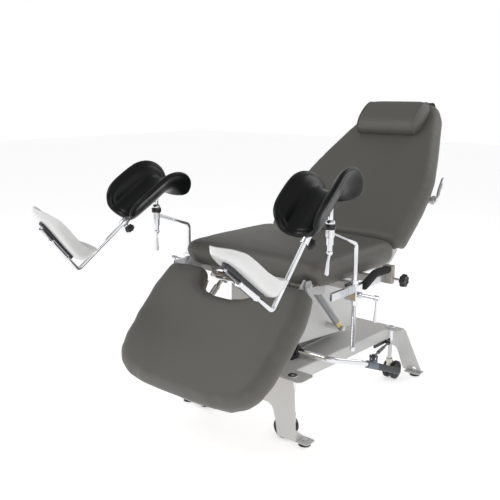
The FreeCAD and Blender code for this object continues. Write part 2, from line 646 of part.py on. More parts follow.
CRUTCH_FRONT = 170.0      # saddle ahead of the ridge
CRUTCH_REAR = 88.6        # curved part behind the ridge
CRUTCH_BEND = 43.9        # radius of that curve
CRUTCH_MID = ((0.0, 0.0), (24.9, 2.0), (46.2, 13.0), (57.4, 24.0), (62.8, 42.2), (76.0, 63.0), (98.7, 76.1))
CRUTCH_WALL = 10.0
CRUTCH_TROUGH = 17.0      # material under the trough
CRUTCH_POWER = 3.0        # squareness of the outline


def crutch_axes(p):
    """Origin on the ridge, then the along, up and outward axes of a crutch."""
    yaw, pitch, roll = [math.radians(v) for v in p["crutch"][:3]]
    forward, rise, sideways = p["crutch"][3:]
    f = V(math.sin(yaw), -math.cos(yaw), 0)
    z = V(0, 0, 1)
    along = f * math.cos(pitch) - z * math.sin(pitch)
    up = f * math.sin(pitch) + z * math.cos(pitch)
    across = up.cross(along)
    outward = across * math.cos(roll) + up * math.sin(roll)
    up = up * math.cos(roll) - across * math.sin(roll)
    origin = V(*p["ball"]) + f * forward + z * rise + outward * sideways
    return origin, along, up, outward


def crutch_curve(n):
    """Middle line of the crutch's cross-section from the trough to the wing tip: (x, z, arc) samples."""
    curve = Part.BSplineCurve()
    curve.interpolate([V(-x, 0, z) for x, z in reversed(CRUTCH_MID[1:])] + [V(x, 0, z) for x, z in CRUTCH_MID])
    pts = curve.toShape().discretize(2 * n + 1)[n:]
    arc = 0.0
    out = [(pts[0].x, pts[0].z, 0.0)]
    for a, b in zip(pts, pts[1:]):
        arc += (b - a).Length
        out.append((b.x, b.z, arc))
    return out


def crutch_local():
    """Bent saddle: local x across, y along the shin, z up, origin on the middle line at the ridge."""
    half = crutch_curve(16)
    inner = []
    outer = []
    for i, (x, z, arc) in enumerate(half):
        a = half[max(i - 1, 0)]
        b = half[min(i + 1, len(half) - 1)]
        t = V(b[0] - a[0], 0, b[1] - a[1])
        if i == 0:
            t = V(1, 0, 0)
        t.normalize()
        under = CRUTCH_WALL + (CRUTCH_TROUGH - CRUTCH_WALL) * max(0.0, 1.0 - (x / 60.0) ** 2)
        inner.append((x - t.z * CRUTCH_WALL, z + t.x * CRUTCH_WALL))
        outer.append((x + t.z * under, z - t.x * under))
    loop = inner + list(reversed(outer)) + [(-x, z) for x, z in outer[1:]]
    loop += [(-x, z) for x, z in reversed(inner[1:])]
    pts = [V(x, 0, z) for x, z in loop]
    face = Part.Face(Part.makePolygon(pts + [pts[0]]))
    straight = face.extrude(V(0, CRUTCH_FRONT, 0))
    curved = face.revolve(V(0, 0, -CRUTCH_BEND), V(1, 0, 0), math.degrees(CRUTCH_REAR / CRUTCH_BEND))
    return straight.fuse(curved).common(crutch_outline())


def crutch_outline():
    """Side outline of the saddle, rounded towards the wing tips."""
    fine = crutch_curve(60)
    length = fine[-1][2]
    middle = (CRUTCH_FRONT - CRUTCH_REAR) / 2.0
    reach = (CRUTCH_FRONT + CRUTCH_REAR) / 2.0

    def at(t, z):
        if t >= 0.0:
            return (t, z)
        a = -t / CRUTCH_BEND
        return (-(CRUTCH_BEND + z) * math.sin(a), (CRUTCH_BEND + z) * math.cos(a) - CRUTCH_BEND)

    front = []
    rear = []
    last = -1.0
    for x, z, arc in fine:
        if z < last + 1.0 and arc < length:
            continue
        last = z
        g = (1.0 - min(1.0, arc / length) ** CRUTCH_POWER) ** (1.0 / CRUTCH_POWER)
        g *= 0.92 + 0.08 * min(1.0, arc / (0.6 * length)) ** 2
        front.append(at(middle + reach * g, z))
        rear.append(at(middle - reach * g, z))
    low = -CRUTCH_TROUGH - 6.0
    start = middle + reach * 0.92
    end = middle - reach * 0.92
    pts = [(start, low)] + front + [(middle, fine[-1][1] + 10.0)] + list(reversed(rear))
    pts += [at(end * (1.0 - i / 8.0), low) for i in range(8)] + [(0.0, low)]
    return prism([(-120.0, y, z) for y, z in pts], (240.0, 0, 0))


def knee_crutch(p):
    origin, along, up, outward = crutch_axes(p)
    o = V(*p["ball"])
    rise = p["crutch"][4]
    shell = place(crutch_local(), origin, outward * -1.0, along, up)
    stem = Part.makeCylinder(8.0, rise, o, V(0, 0, 1))
    ball = Part.makeSphere(11.0, o)
    seat = Part.makeCylinder(17.0, 22.0, o + V(0, 0, rise - 26.0), V(0, 0, 1))
    # socket that takes the foot bar
    top = bar_top(p)
    d = bar_up(p)
    socket = Part.makeCylinder(12.5, 48.0, top - d * 46.0, d)
    root = origin + along * 70.0 - up * 13.0
    link = Part.makeCylinder(10.0, (root - top).Length, top, root - top)
    knob_dir = knob_axis(p)
    boss = Part.makeCylinder(8.0, 20.0, top - d * 26.0, knob_dir)
    shape = fuse([shell, stem, ball, seat, socket, link, boss])
    bore = Part.makeCylinder(BAR_R + 0.05, 40.0, top - d * 50.0, d)
    thread = Part.makeCylinder(4.05, 24.0, top - d * 26.0, knob_dir)
    hinge = cyl((o.x - 12.0, o.y, o.z), (o.x + 12.0, o.y, o.z), 3.0)
    return shape.cut(bore).cut(thread).cut(hinge)


def bar_up(p):
    o, f, u = side_axes(p)
    a = math.radians(p["up"])
    return (f * math.cos(a) + u * math.sin(a)).normalize()


def bar_top(p):
    corner = in_plane(p, *p["corner"])
    return corner + bar_up(p) * p.get("leg", 262.0)


def knob_axis(p):
    o, f, u = side_axes(p)
    d = bar_up(p)
    n = V(1, 0, 0).cross(d).normalize()
    if n.z > 0:
        n = n * -1.0
    return n


def crutch_knob(p):
    top = bar_top(p)
    d = bar_up(p)
    n = knob_axis(p)
    start = top - d * 26.0
    stem = Part.makeCylinder(4.0, 26.0, start + n * (BAR_R + 0.4), n)
    knob = star_knob(tuple(start + n * 24.0), tuple(n), 17.0, 18.0)
    return fuse([stem, knob])


def foot_axes(p):
    """Corner of the bar, direction of its foot leg, then the shell's up and side axes."""
    o, f, u = side_axes(p)
    corner = in_plane(p, *p["corner"])
    yaw, rise = [math.radians(v) for v in p["out"]]
    f = V(math.sin(yaw), -math.cos(yaw), 0)
    out = f * math.cos(rise) + u * math.sin(rise)
    up = u * math.cos(rise) - f * math.sin(rise)
    side = out.cross(up)
    roll = math.radians(p["shell"][0])
    return corner, out, up * math.cos(roll) + side * math.sin(roll), side * math.cos(roll) - up * math.sin(roll)


def foot_bar(p):
    corner, out, up, side = foot_axes(p)
    d = bar_up(p)
    bar = bent([tuple(bar_top(p) - d * 14.0), tuple(corner), tuple(corner + out * 246.0)], BAR_R, 16.0)
    sleeve = Part.makeCylinder(10.0, 98.0, corner + out * 85.0, out)
    w = 9.0
    top = p["shell"][1] - 0.5
    base = corner - side * w
    plate = prism([tuple(base + out * 70.0 + up * 5.0), tuple(base + out * 252.0 + up * 5.0),
                   tuple(base + out * 252.0 + up * top), tuple(base + out * 70.0 + up * top)],
                  tuple(side * (2.0 * w)))
    return fuse([bar, sleeve, plate])


SHELL_LEN = 300.0
SHELL_PLAN = ((0.0, 22.0), (12.0, 32.0), (60.0, 38.5), (130.0, 42.5), (200.0, 48.5), (248.0, 49.5), (282.0, 40.0),
              (298.0, 24.0))
SHELL_WALL = ((-20.0, 80.0), (0.0, 76.0), (24.0, 65.0), (60.0, 48.0), (130.0, 38.5), (186.0, 36.0), (246.0, 31.5),
              (285.0, 21.5), (300.0, 14.0), (320.0, 12.0))


def shell_local(grow):
    """Foot shell solid: local x across, y heel to toe, z up from the sole."""
    plan = [(w + grow, y) for y, w in SHELL_PLAN]
    lo = 0.0 - grow
    hi = SHELL_LEN + grow
    pts = [(x, min(max(y, lo), hi)) for x, y in plan]
    pts[0] = (pts[0][0], lo)
    pts[-1] = (pts[-1][0], hi)
    loop = pts + [(-x, y) for x, y in reversed(pts)]
    return prism([(x, y, -grow) for x, y in loop], (0, 0, 100.0))


def shell_profile():
    """Side outline that trims the shell: low at the toe, high at the heel."""
    prof = [(320.0, -10.0), (-20.0, -10.0)] + list(SHELL_WALL)
    return prism([(-80.0, y, z) for y, z in prof], (160.0, 0, 0))


def foot_shell(p):
    corner, out, up, side = foot_axes(p)
    body = shell_local(0.0).cut(shell_local(-3.0)).common(shell_profile())
    return place(body, corner + up * p["shell"][1] + out * 12.0, side, out, up)


# ----------------------------------------------------------------- handgrips
GRIP_Y = 346.0
GRIP_W = 22.0


def grip_clamp():
    y = GRIP_Y
    body = box(334.0, 372.0, y, y + GRIP_W, 494.0, 556.0)
    body = fillet(body, 5.0, lambda e: vertical(e) and e.CenterOfMass.x > 360)
    slot = box(338.7, 349.3, y - 1, y + GRIP_W + 1, RAIL_Z - 12.8, RAIL_Z + 12.8)
    hole = cyl((349.0, y + 11.0, 511.0), (380.0, y + 11.0, 511.0), 5.05)
    seat = cyl((358.0, y - 1, 545.0), (358.0, y + 16.0, 545.0), 6.05)
    return body.cut(slot).cut(hole).cut(seat)


def handgrip():
    y = GRIP_Y
    pts = [(358.0, y + 14.0, 545.0), (358.0, y - 20.0, 545.0), (360.0, y - 96.0, 549.0), (367.0, y - 172.0, 524.0)]
    core = cyl(pts[0], (358.0, y - 14.0, 545.0), 6.0)
    foam = bent([(358.0, y - 4.0, 545.0)] + pts[2:], 14.0, 40.0)
    end = sphere(pts[3], 14.0)
    return fuse([core, foam, end])


def grip_knob():
    y = GRIP_Y + 11.0
    stem = cyl((350.0, y, 511.0), (402.0, y, 511.0), 5.0)
    knob = star_knob((400.0, y, 511.0), (1, 0, 0), 23.0, 22.0)
    return fuse([stem, knob])


# ------------------------------------------------------------------- castors
def castor_stem(x, y):
    stem = cyl((x, y, 92.3), (x, y, DECK_Z - 2.0), 7.95)
    spigot = cyl((x, y, 78.0), (x, y, 93.0), 5.0)
    return stem.fuse(spigot)


def castor_fork(x, y, trail, swivel):
    collar = cyl((x, y, 77.0), (x, y, 92.0), 13.0)
    if swivel:
        collar = collar.cut(cyl((x, y, 76.0), (x, y, 100.0), 5.05))
    else:
        collar = collar.fuse(castor_stem(x, y))
    web = prism([(x - 5.0, y - 12.0, 84.0), (x - 5.0, y + 12.0, 84.0), (x - 5.0, y + trail + 12.0, WHEEL_Z + 8.0),
                 (x - 5.0, y + trail + 9.0, WHEEL_Z - 9.0), (x - 5.0, y + trail - 9.0, WHEEL_Z - 9.0), (x - 5.0, y - 14.0, 62.0)],
                (10.0, 0, 0))
    axle = cyl((x - 26.0, y + trail, WHEEL_Z), (x + 26.0, y + trail, WHEEL_Z), 5.0)
    shape = fuse([collar, web, axle])
    if swivel:
        shape = shape.cut(cyl((x, y, 76.0), (x, y, 100.0), 5.05))
    return shape


def castor_wheels(x, y, trail):
    out = []
    for sx in (-1, 1):
        a = (x + sx * 8.0, y + trail, WHEEL_Z)
        b = (x + sx * 24.0, y + trail, WHEEL_Z)
        w = cyl(a, b, WHEEL_R)
        w = w.makeFillet(3.0, [e for e in w.Edges if e.Length > 200])
        out.append(w.cut(cyl((x - 30, y + trail, WHEEL_Z), (x + 30, y + trail, WHEEL_Z), 5.05)))
    return group(out)


# --------------------------------------------------------------------- pedal
PEDAL_Y = 150.0
PEDAL_Z = 250.0


def pedal_bar():
    pts = [(66.0, PEDAL_Y, PEDAL_Z), (262.0, PEDAL_Y, PEDAL_Z), (306.0, 272.0, 215.0), (330.0, 362.0, 178.0)]
    return bent(pts, 10.0, 38.0)


def pedal_dir():
    a = V(306.0, 272.0, 215.0)
    b = V(330.0, 362.0, 178.0)
    return a, (b - a).normalize()


def pedal_socket():
    a, d = pedal_dir()
    s = a + d * 34.0
    body = Part.makeCylinder(13.5, 50.0, s, d)
    low, high, u = link_ends()
    lug = Part.makeCylinder(7.0, 26.0, low + V(0, 0, -27.0), V(0, 0, 1))
    lug = lug.cut(Part.makeBox(60.0, 60.0, 17.0, V(low.x - 30, low.y - 30, low.z - 12.0)))
    pin = Part.makeCylinder(3.5, 31.0, low - u * 15.5, u)
    ears = []
    for k in (-1, 1):
        e = Part.makeCylinder(6.0, 4.0, low + u * (k * 11.5) - u * 2.0, u)
        ears.append(e.fuse(Part.makeCylinder(3.2, 20.0, low + u * (k * 11.5) + V(0, 0, -20.0), V(0, 0, 1))))
    bore = Part.makeCylinder(10.0, 52.0, s - d, d)
    bridge = Part.makeCylinder(4.0, 26.0, low - u * 13.0 + V(0, 0, -17.0), u)
    return fuse([body, lug, pin, bridge] + ears).cut(bore)


def pedal_sleeve():
    a, d = pedal_dir()
    s = a + d * 84.0
    body = Part.makeCylinder(12.5, 118.0, s, d)
    cap = Part.makeSphere(12.5, s + d * 118.0)
    bore = Part.makeCylinder(10.0, 25.0, s - d, d)
    return fuse([body, cap]).cut(bore)


def link_ends():
    """Pin on the pedal socket, ball on the bracket, and the link's hinge axis."""
    a, d = pedal_dir()
    c = a + d * 68.0
    low = V(c.x, c.y, c.z + 34.0)
    high = V(216.0, 634.0, 166.0)
    u = (low - high).cross(V(0, 0, 1)).normalize()
    return low, high, u


def pedal_link():
    low, high, u = link_ends()
    d = (high - low).normalize()
    n = u.cross(d).normalize()
    rod = Part.makeCylinder(4.0, (high - low).Length - 20.0, low + d * 12.0, d)
    mid = Part.makeCylinder(6.5, 120.0, low + d * 90.0, d)
    e0 = Part.makeCylinder(8.5, 11.0, low - u * 5.5 - d * 6.0, u).fuse(Part.makeCylinder(8.5, 11.0, low - u * 5.5 + d * 6.0, u))
    e0 = e0.fuse(place(box(-6.0, 6.0, -8.5, 8.5, -5.5, 5.5), low, d, n, u))
    e1 = Part.makeCylinder(9.0, 10.0, high - u * 5.0, u)
    slot = Part.makeCylinder(4.3, 14.0, low - u * 7.0 - d * 6.0, u).fuse(Part.makeCylinder(4.3, 14.0, low - u * 7.0 + d * 6.0, u))
    slot = slot.fuse(place(box(-6.0, 6.0, -4.3, 4.3, -7.0, 7.0), low, d, n, u))
    hole = Part.makeCylinder(4.05, 14.0, high - u * 7.0, u)
    return fuse([rod, mid, e0, e1]).cut(slot).cut(hole)


def link_bracket():
    """Hanger under the beam's right flange that carries the link's far end."""
    low, high, u = link_ends()
    bar = box(198.0, 206.0, 548.0, 646.0, 164.0, 176.9)
    pin = Part.makeCylinder(4.0, 22.0, high - u * 8.0, u)
    head = Part.makeCylinder(6.5, 3.0, high + u * 6.0, u)
    return fuse([bar, pin, head])


# -------------------------------------------------------------------- output
def build():
    out = {}
    out["base_deck"] = base_deck()
    out["foot_end_plate"] = foot_end_plate()
    out["head_end_plate"] = head_end_plate()
    out["foot_pads"] = feet()
    out["base_fittings"] = base_fittings()
    out["lift_column"] = lift_column()
    out["lift_stage"] = tube_stage(1)
    out["lift_ram"] = lift_ram()
    out["lift_shrouds"] = lift_shrouds()
    out["pump_fittings"] = group([pump_body(), link_bracket()])
    out["seat_frame"] = spring_well(seat_frame())
    out["seat_board"] = seat_board()
    out["seat_cushion"] = seat_cushion()
    out["side_rails"] = side_rails()
    out["backrest_frame"] = backrest_frame()
    out["backrest_board"] = backrest_board()
    out["backrest_cushion"] = backrest_cushion()
    out["backrest_lever"] = backrest_lever()
    out["pillow"] = pillow()
    out["pillow_straps"] = pillow_straps()
    out["foot_frame"] = foot_frame()
    out["foot_board"] = foot_board()
    out["foot_cushion"] = foot_cushion()
    out["foot_stop"] = foot_stop()
    out["tilt_spring_cylinder"] = tilt_spring_cylinder()
    out["tilt_spring_rod"] = tilt_spring_rod()
    for name, p in SIDES.items():
        flip = (lambda s: s) if p["sx"] > 0 else mirror_x
        out["rail_clamp_" + name] = flip(rail_clamp(p))
        out["clamp_lever_" + name] = flip(clamp_lever(p))
        out["knee_rod_" + name] = flip(knee_rod(p))
        out["ball_lever_" + name] = flip(ball_lever(p))
        out["knee_crutch_" + name] = flip(knee_crutch(p))
        out["crutch_knob_" + name] = flip(crutch_knob(p))
        out["foot_bar_" + name] = flip(foot_bar(p))
        out["foot_shell_" + name] = flip(foot_shell(p))
        out["handgrip_" + name] = flip(handgrip())
    out["grip_clamps"] = group([grip_clamp(), mirror_x(grip_clamp())])
    out["grip_knobs"] = group([grip_knob(), mirror_x(grip_knob())])
    for end, y, trail in (("foot", CASTOR_Y[0], TRAIL), ("head", CASTOR_Y[1], TRAIL)):
        for side, sx in (("right", 1), ("left", -1)):
            swivel = end == "head"
            x = sx * CASTOR_X
            fork = castor_fork(x, y, trail, swivel)
            wheels = castor_wheels(x, y, trail)
            if swivel:
                out["castor_stem_%s_%s" % (end, side)] = castor_stem(x, y)
            else:
                # the foot-end pair trails inward
                fork.rotate(V(x, y, 0), V(0, 0, 1), sx * 90.0)
                wheels.rotate(V(x, y, 0), V(0, 0, 1), sx * 90.0)
            out["castor_fork_%s_%s" % (end, side)] = fork
            out["castor_wheels_%s_%s" % (end, side)] = wheels
    out["pedal_bar"] = pedal_bar()
    out["pedal_socket"] = pedal_socket()
    out["pedal_sleeve"] = pedal_sleeve()
    out["pedal_link"] = pedal_link()
    return out


for node, shape in build().items():
    if not shape.isValid():
        print("invalid", node)
    save(shape, node)
    b = shape.BoundBox
    print("%-26s %8.1f %8.1f  %8.1f %8.1f  %8.1f %8.1f" % (node, b.XMin, b.XMax, b.YMin, b.YMax, b.ZMin, b.ZMax))
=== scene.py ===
"""Looks of the three-section gynaecological examination chair, in metres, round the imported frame.

X = 0 is the symmetry plane, +Y points to the head end and +Z is up. Every piece is built where
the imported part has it, and rides on that part's body.
"""
import json
import math

import bmesh
import bpy
import numpy as np
from mathutils import Matrix, Vector


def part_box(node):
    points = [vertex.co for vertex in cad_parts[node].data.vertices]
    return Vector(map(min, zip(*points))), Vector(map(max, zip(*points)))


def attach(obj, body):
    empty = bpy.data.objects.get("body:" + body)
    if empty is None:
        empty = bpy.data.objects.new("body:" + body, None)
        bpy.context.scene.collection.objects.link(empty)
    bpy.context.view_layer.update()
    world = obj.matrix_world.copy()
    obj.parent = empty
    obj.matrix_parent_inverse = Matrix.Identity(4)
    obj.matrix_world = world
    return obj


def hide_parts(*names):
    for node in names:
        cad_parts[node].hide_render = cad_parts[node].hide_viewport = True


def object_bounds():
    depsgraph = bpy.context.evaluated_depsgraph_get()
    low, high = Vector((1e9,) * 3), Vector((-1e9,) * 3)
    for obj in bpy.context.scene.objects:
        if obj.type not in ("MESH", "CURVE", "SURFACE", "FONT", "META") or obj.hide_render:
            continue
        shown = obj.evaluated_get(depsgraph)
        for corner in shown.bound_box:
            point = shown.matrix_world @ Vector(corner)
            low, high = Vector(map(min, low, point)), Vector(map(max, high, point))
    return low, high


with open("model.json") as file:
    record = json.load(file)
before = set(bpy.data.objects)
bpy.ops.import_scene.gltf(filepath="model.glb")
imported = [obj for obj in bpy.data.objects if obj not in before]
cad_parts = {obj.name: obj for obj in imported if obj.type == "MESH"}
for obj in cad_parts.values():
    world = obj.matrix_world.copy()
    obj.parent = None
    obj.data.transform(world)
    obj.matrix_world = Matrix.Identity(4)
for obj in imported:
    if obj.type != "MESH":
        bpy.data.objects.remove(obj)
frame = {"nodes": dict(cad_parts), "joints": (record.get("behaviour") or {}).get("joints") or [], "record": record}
CAD_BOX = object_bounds()
NODES = frame["nodes"]
JOINTS = {j["name"]: j for j in frame["joints"]}

# ---------------------------------------------------------------- dimensions
BACK_ANGLE = math.radians(39.0)       # backrest above the horizontal
FOOT_ANGLE = math.radians(45.0)       # foot section below the horizontal
ROD_R = 0.007
SHELL_START = 0.012
# Leg holders: yaw of the holder's plane, the bar's corner as forward and up from the ball, the angle of
# the bar's upper leg, yaw and rise of its foot leg, roll of the shell and its height over the bar, then
# the crutch's yaw, pitch and roll and its ridge as forward, up and outward from the ball.
HOLDERS = {
    "right": dict(sx=1, yaw=0.0, corner=(0.274, -0.206), up=131.0, out=(1.5, 37.7), roll=0.0, rise=0.018,
                  crutch=(5.55, 36.3, 9.6), ridge=(0.002, 0.074, -0.020)),
    "left": dict(sx=-1, yaw=5.0, corner=(0.328, -0.175), up=144.0, out=(-18.5, 44.0), roll=22.0, rise=0.014,
                 crutch=(8.8, 32.9, 11.7), ridge=(0.0055, 0.063, -0.0023)),
}
BAR_LEG = 0.262                       # upper leg of the foot bar, corner to top
FOOT_LEG = 0.246                      # lower leg of the foot bar, corner to end
ROD_X = 0.360                         # knee rod beside the side rail
ROD_LOW = 0.318                       # bottom of the knee rod
ROD_BEND = {"right": 0.669, "left": 0.648}
KNOB_DROP = 0.026                     # crutch knob below the top of the bar
SHELL_LEN = 0.300
SPRING_LEN = 0.2808                   # tilt spring, eye to eye
LEVER_T = 0.315                       # backrest lever's pivot along the backrest
LEVER_N = -0.017
CRUTCH_FRONT = 0.170                  # saddle ahead of the ridge
CRUTCH_REAR = 0.0886                  # curved part behind the ridge
CRUTCH_BEND = 0.0439                  # radius of that curve

BACK_T = Vector((0, math.cos(BACK_ANGLE), math.sin(BACK_ANGLE)))
BACK_N = Vector((0, -math.sin(BACK_ANGLE), math.cos(BACK_ANGLE)))
FOOT_T = Vector((0, -math.cos(FOOT_ANGLE), -math.sin(FOOT_ANGLE)))
FOOT_N = Vector((0, -math.sin(FOOT_ANGLE), math.cos(FOOT_ANGLE)))
BACK_PIVOT = Vector(JOINTS["backrest_recline"]["pos_m"])
FOOT_PIVOT = Vector(JOINTS["foot_section_fold"]["pos_m"])
X_AXIS = Vector((1, 0, 0))
Z_AXIS = Vector((0, 0, 1))


# ----------------------------------------------------------------- materials
class Surface:
    """A principled material whose colour, roughness and bump come from object-space textures."""

    def __init__(self, name, colour, rough, metallic=0.0, mottle=0.06, mottle_scale=9.0, spread=0.06,
                 coat=0.0, coat_rough=0.1, sheen=0.0, specular=0.5):
        self.mat = bpy.data.materials.new(name)
        self.mat.use_nodes = True
        self.tree = self.mat.node_tree
        self.bsdf = self.tree.nodes["Principled BSDF"]
        self.place = self.node("ShaderNodeTexCoord").outputs["Object"]
        self.height = None
        self.bsdf.inputs["Metallic"].default_value = metallic
        self.bsdf.inputs["Specular IOR Level"].default_value = specular
        self.bsdf.inputs["Coat Weight"].default_value = coat
        self.bsdf.inputs["Coat Roughness"].default_value = coat_rough
        self.bsdf.inputs["Sheen Weight"].default_value = sheen
        cloud = self.noise(mottle_scale, 3.0)
        dark = [c * (1 - mottle) for c in colour]
        light = [min(c * (1 + mottle), 1.0) for c in colour]
        self.colour = self.mix(cloud, dark, light)
        self.tree.links.new(self.colour, self.bsdf.inputs["Base Color"])
        smear = self.noise(mottle_scale * 4.0, 4.0)
        gloss = self.ramp(smear, max(rough - spread, 0.02), rough + spread)
        self.tree.links.new(gloss, self.bsdf.inputs["Roughness"])

    def node(self, kind, **settings):
        made = self.tree.nodes.new(kind)
        for key, value in settings.items():
            setattr(made, key, value)
        return made

    def stretched(self, stretch, turn=(0, 0, 0)):
        mapping = self.node("ShaderNodeMapping")
        mapping.inputs["Scale"].default_value = stretch
        mapping.inputs["Rotation"].default_value = turn
        self.tree.links.new(self.place, mapping.inputs["Vector"])
        return mapping.outputs["Vector"]

    def noise(self, scale, detail=2.0, place=None):
        made = self.node("ShaderNodeTexNoise")
        made.inputs["Scale"].default_value = scale
        made.inputs["Detail"].default_value = detail
        self.tree.links.new(place or self.place, made.inputs["Vector"])
        return made.outputs["Fac"]

    def cells(self, scale, feature="F1"):
        made = self.node("ShaderNodeTexVoronoi", feature=feature)
        made.inputs["Scale"].default_value = scale
        self.tree.links.new(self.place, made.inputs["Vector"])
        return made.outputs["Distance"]

    def bands(self, scale, direction="Z", place=None, distortion=0.0):
        made = self.node("ShaderNodeTexWave", wave_type="BANDS", bands_direction=direction)
        made.inputs["Scale"].default_value = scale
        made.inputs["Distortion"].default_value = distortion
        self.tree.links.new(place or self.place, made.inputs["Vector"])
        return made.outputs["Fac"]

    def ramp(self, fac, lo, hi, start=0.0, end=1.0):
        made = self.node("ShaderNodeMapRange")
        for name, value in (("From Min", start), ("From Max", end), ("To Min", lo), ("To Max", hi)):
            made.inputs[name].default_value = value
        self.tree.links.new(fac, made.inputs["Value"])
        return made.outputs["Result"]

    def mix(self, fac, a, b):
        made = self.node("ShaderNodeMix", data_type="RGBA")
        self.tree.links.new(fac, made.inputs["Factor"])
        for name, value in (("A", a), ("B", b)):
            socket = [s for s in made.inputs if s.name == name and s.type == "RGBA"][0]
            if isinstance(value, bpy.types.NodeSocket):
                self.tree.links.new(value, socket)
            else:
                socket.default_value = (*value, 1.0)
        return [s for s in made.outputs if s.type == "RGBA"][0]

    def tint(self, fac, colour):
        """Lays another colour over the base where fac is 1."""
        self.colour = self.mix(fac, self.colour, colour)
        self.tree.links.new(self.colour, self.bsdf.inputs["Base Color"])
        return self

    def bump(self, fac, depth):
        """Adds relief whose real depth is given in metres."""
        made = self.node("ShaderNodeBump")
        made.inputs["Strength"].default_value = 1.0
        made.inputs["Distance"].default_value = depth
        self.tree.links.new(fac, made.inputs["Height"])
        if self.height is not None:
            self.tree.links.new(self.height, made.inputs["Normal"])
        self.height = made.outputs["Normal"]
        self.tree.links.new(self.height, self.bsdf.inputs["Normal"])
        return self


def leather(name, colour, rough, cell, depth, coat=0.0, specular=0.5):
    """Artificial leather: pebbled grain on a slightly uneven foam."""
    made = Surface(name, colour, rough, mottle=0.07, mottle_scale=7.0, spread=0.05, coat=coat, coat_rough=0.3,
                   specular=specular)
    made.bump(made.noise(24.0, 3.0), 0.0005)
    made.bump(made.cells(1.0 / cell), depth)
    made.bump(made.noise(2.2 / cell, 3.0), depth * 0.6)
    return made.mat


def metal(name, colour, rough, brushed=False, metallic=1.0):
    made = Surface(name, colour, rough, metallic=metallic, mottle=0.04, mottle_scale=30.0, spread=0.03)
    if brushed:
        made.bump(made.noise(60.0, 6.0, made.stretched((1.0, 18.0, 18.0))), 0.00006)
    made.bump(made.noise(45.0, 2.0), 0.00005)
    return made.mat


def paint(name, colour, rough):
    """Powder coat with a fine orange peel and a little handling wear."""
    made = Surface(name, colour, rough, mottle=0.025, mottle_scale=6.0, spread=0.05)
    scuff = made.ramp(made.noise(38.0, 8.0), 0.0, 0.5, 0.62, 0.80)
    made.tint(scuff, [c * 0.82 for c in colour])
    made.bump(made.noise(420.0, 2.0), 0.00005)
    return made.mat


def moulded(name, colour, rough, grain=0.00004, coat=0.0, scale=900.0):
    made = Surface(name, colour, rough, mottle=0.05, mottle_scale=18.0, spread=0.05, coat=coat, coat_rough=0.08)
    made.bump(made.noise(scale, 3.0), grain)
    return made.mat


def plywood(name, angle):
    """Birch plywood whose plies lie across a board tilted by angle about X."""
    made = Surface(name, (0.62, 0.50, 0.33), 0.55, mottle=0.12, mottle_scale=14.0)
    flat = made.stretched((1.0, 1.0, 1.0), (-angle, 0, 0))
    plies = made.bands(112.0, "Z", flat, 0.4)
    made.tint(made.ramp(plies, 0.0, 0.75, 0.35, 0.8), (0.36, 0.25, 0.14))
    made.bump(plies, 0.00012)
    made.bump(made.noise(90.0, 5.0, made.stretched((1.0, 14.0, 1.0))), 0.0002)
    return made.mat


def webbing(name, colour):
    made = Surface(name, colour, 0.78, mottle=0.15, mottle_scale=60.0, sheen=0.3)
    made.bump(made.bands(260.0, "X"), 0.0003)
    made.bump(made.bands(260.0, "Z", made.stretched((1, 1, 1), (-BACK_ANGLE, 0, 0))), 0.0003)
    return made.mat


def foam(name, colour):
    made = Surface(name, colour, 0.82, mottle=0.25, mottle_scale=120.0)
    made.bump(made.cells(1500.0), 0.0003)
    made.bump(made.noise(60.0, 3.0), 0.0006)
    return made.mat


def cast(name, colour):
    made = Surface(name, colour, 0.48, metallic=0.55, mottle=0.14, mottle_scale=45.0, spread=0.12)
    made.bump(made.noise(320.0, 5.0), 0.00025)
    return made.mat


M = {
    "upholstery": leather("upholstery", (0.112, 0.109, 0.096), 0.50, 0.0014, 0.00012),
    "black_padding": leather("black_padding", (0.0035, 0.004, 0.0045), 0.30, 0.0011, 0.00003, coat=0.08,
                             specular=0.25),
    "black_foam": foam("black_foam", (0.011, 0.011, 0.012)),
    "painted_sheet": paint("painted_sheet", (0.63, 0.63, 0.62), 0.34),
    "painted_frame": paint("painted_frame", (0.52, 0.52, 0.52), 0.36),
    "chrome": metal("chrome", (0.80, 0.81, 0.83), 0.10),
    "steel": metal("steel", (0.55, 0.55, 0.56), 0.27, brushed=True),
    "dark_metal": metal("dark_metal", (0.055, 0.055, 0.06), 0.36, metallic=0.6),
    "cast_metal": cast("cast_metal", (0.42, 0.40, 0.36)),
    "rail": metal("rail", (0.66, 0.67, 0.69), 0.20, brushed=True),
    "plywood": plywood("plywood", 0.0),
    "black_plastic": moulded("black_plastic", (0.012, 0.012, 0.013), 0.32),
    "strap": webbing("strap", (0.012, 0.012, 0.012)),
    "white_plastic": moulded("white_plastic", (0.74, 0.74, 0.73), 0.18, 0.00002, coat=0.3, scale=260.0),
    "cream_plastic": moulded("cream_plastic", (0.66, 0.64, 0.57), 0.33),
    "wheel": moulded("wheel", (0.014, 0.014, 0.014), 0.52, 0.00010),
    "grey_plastic": moulded("grey_plastic", (0.16, 0.19, 0.22), 0.38),
    "grey_rubber": moulded("grey_rubber", (0.065, 0.067, 0.07), 0.62, 0.00014, scale=600.0),
    "pad_rubber": moulded("pad_rubber", (0.016, 0.016, 0.016), 0.66, 0.00014, scale=600.0),
    "spring_grey": moulded("spring_grey", (0.20, 0.205, 0.21), 0.30, coat=0.3),
    "brass": metal("brass", (0.62, 0.48, 0.20), 0.28),
    "wheel_hub": moulded("wheel_hub", (0.20, 0.205, 0.21), 0.40),
}
PLY_BACK = plywood("plywood_back", BACK_ANGLE)
PLY_FOOT = plywood("plywood_foot", -FOOT_ANGLE)


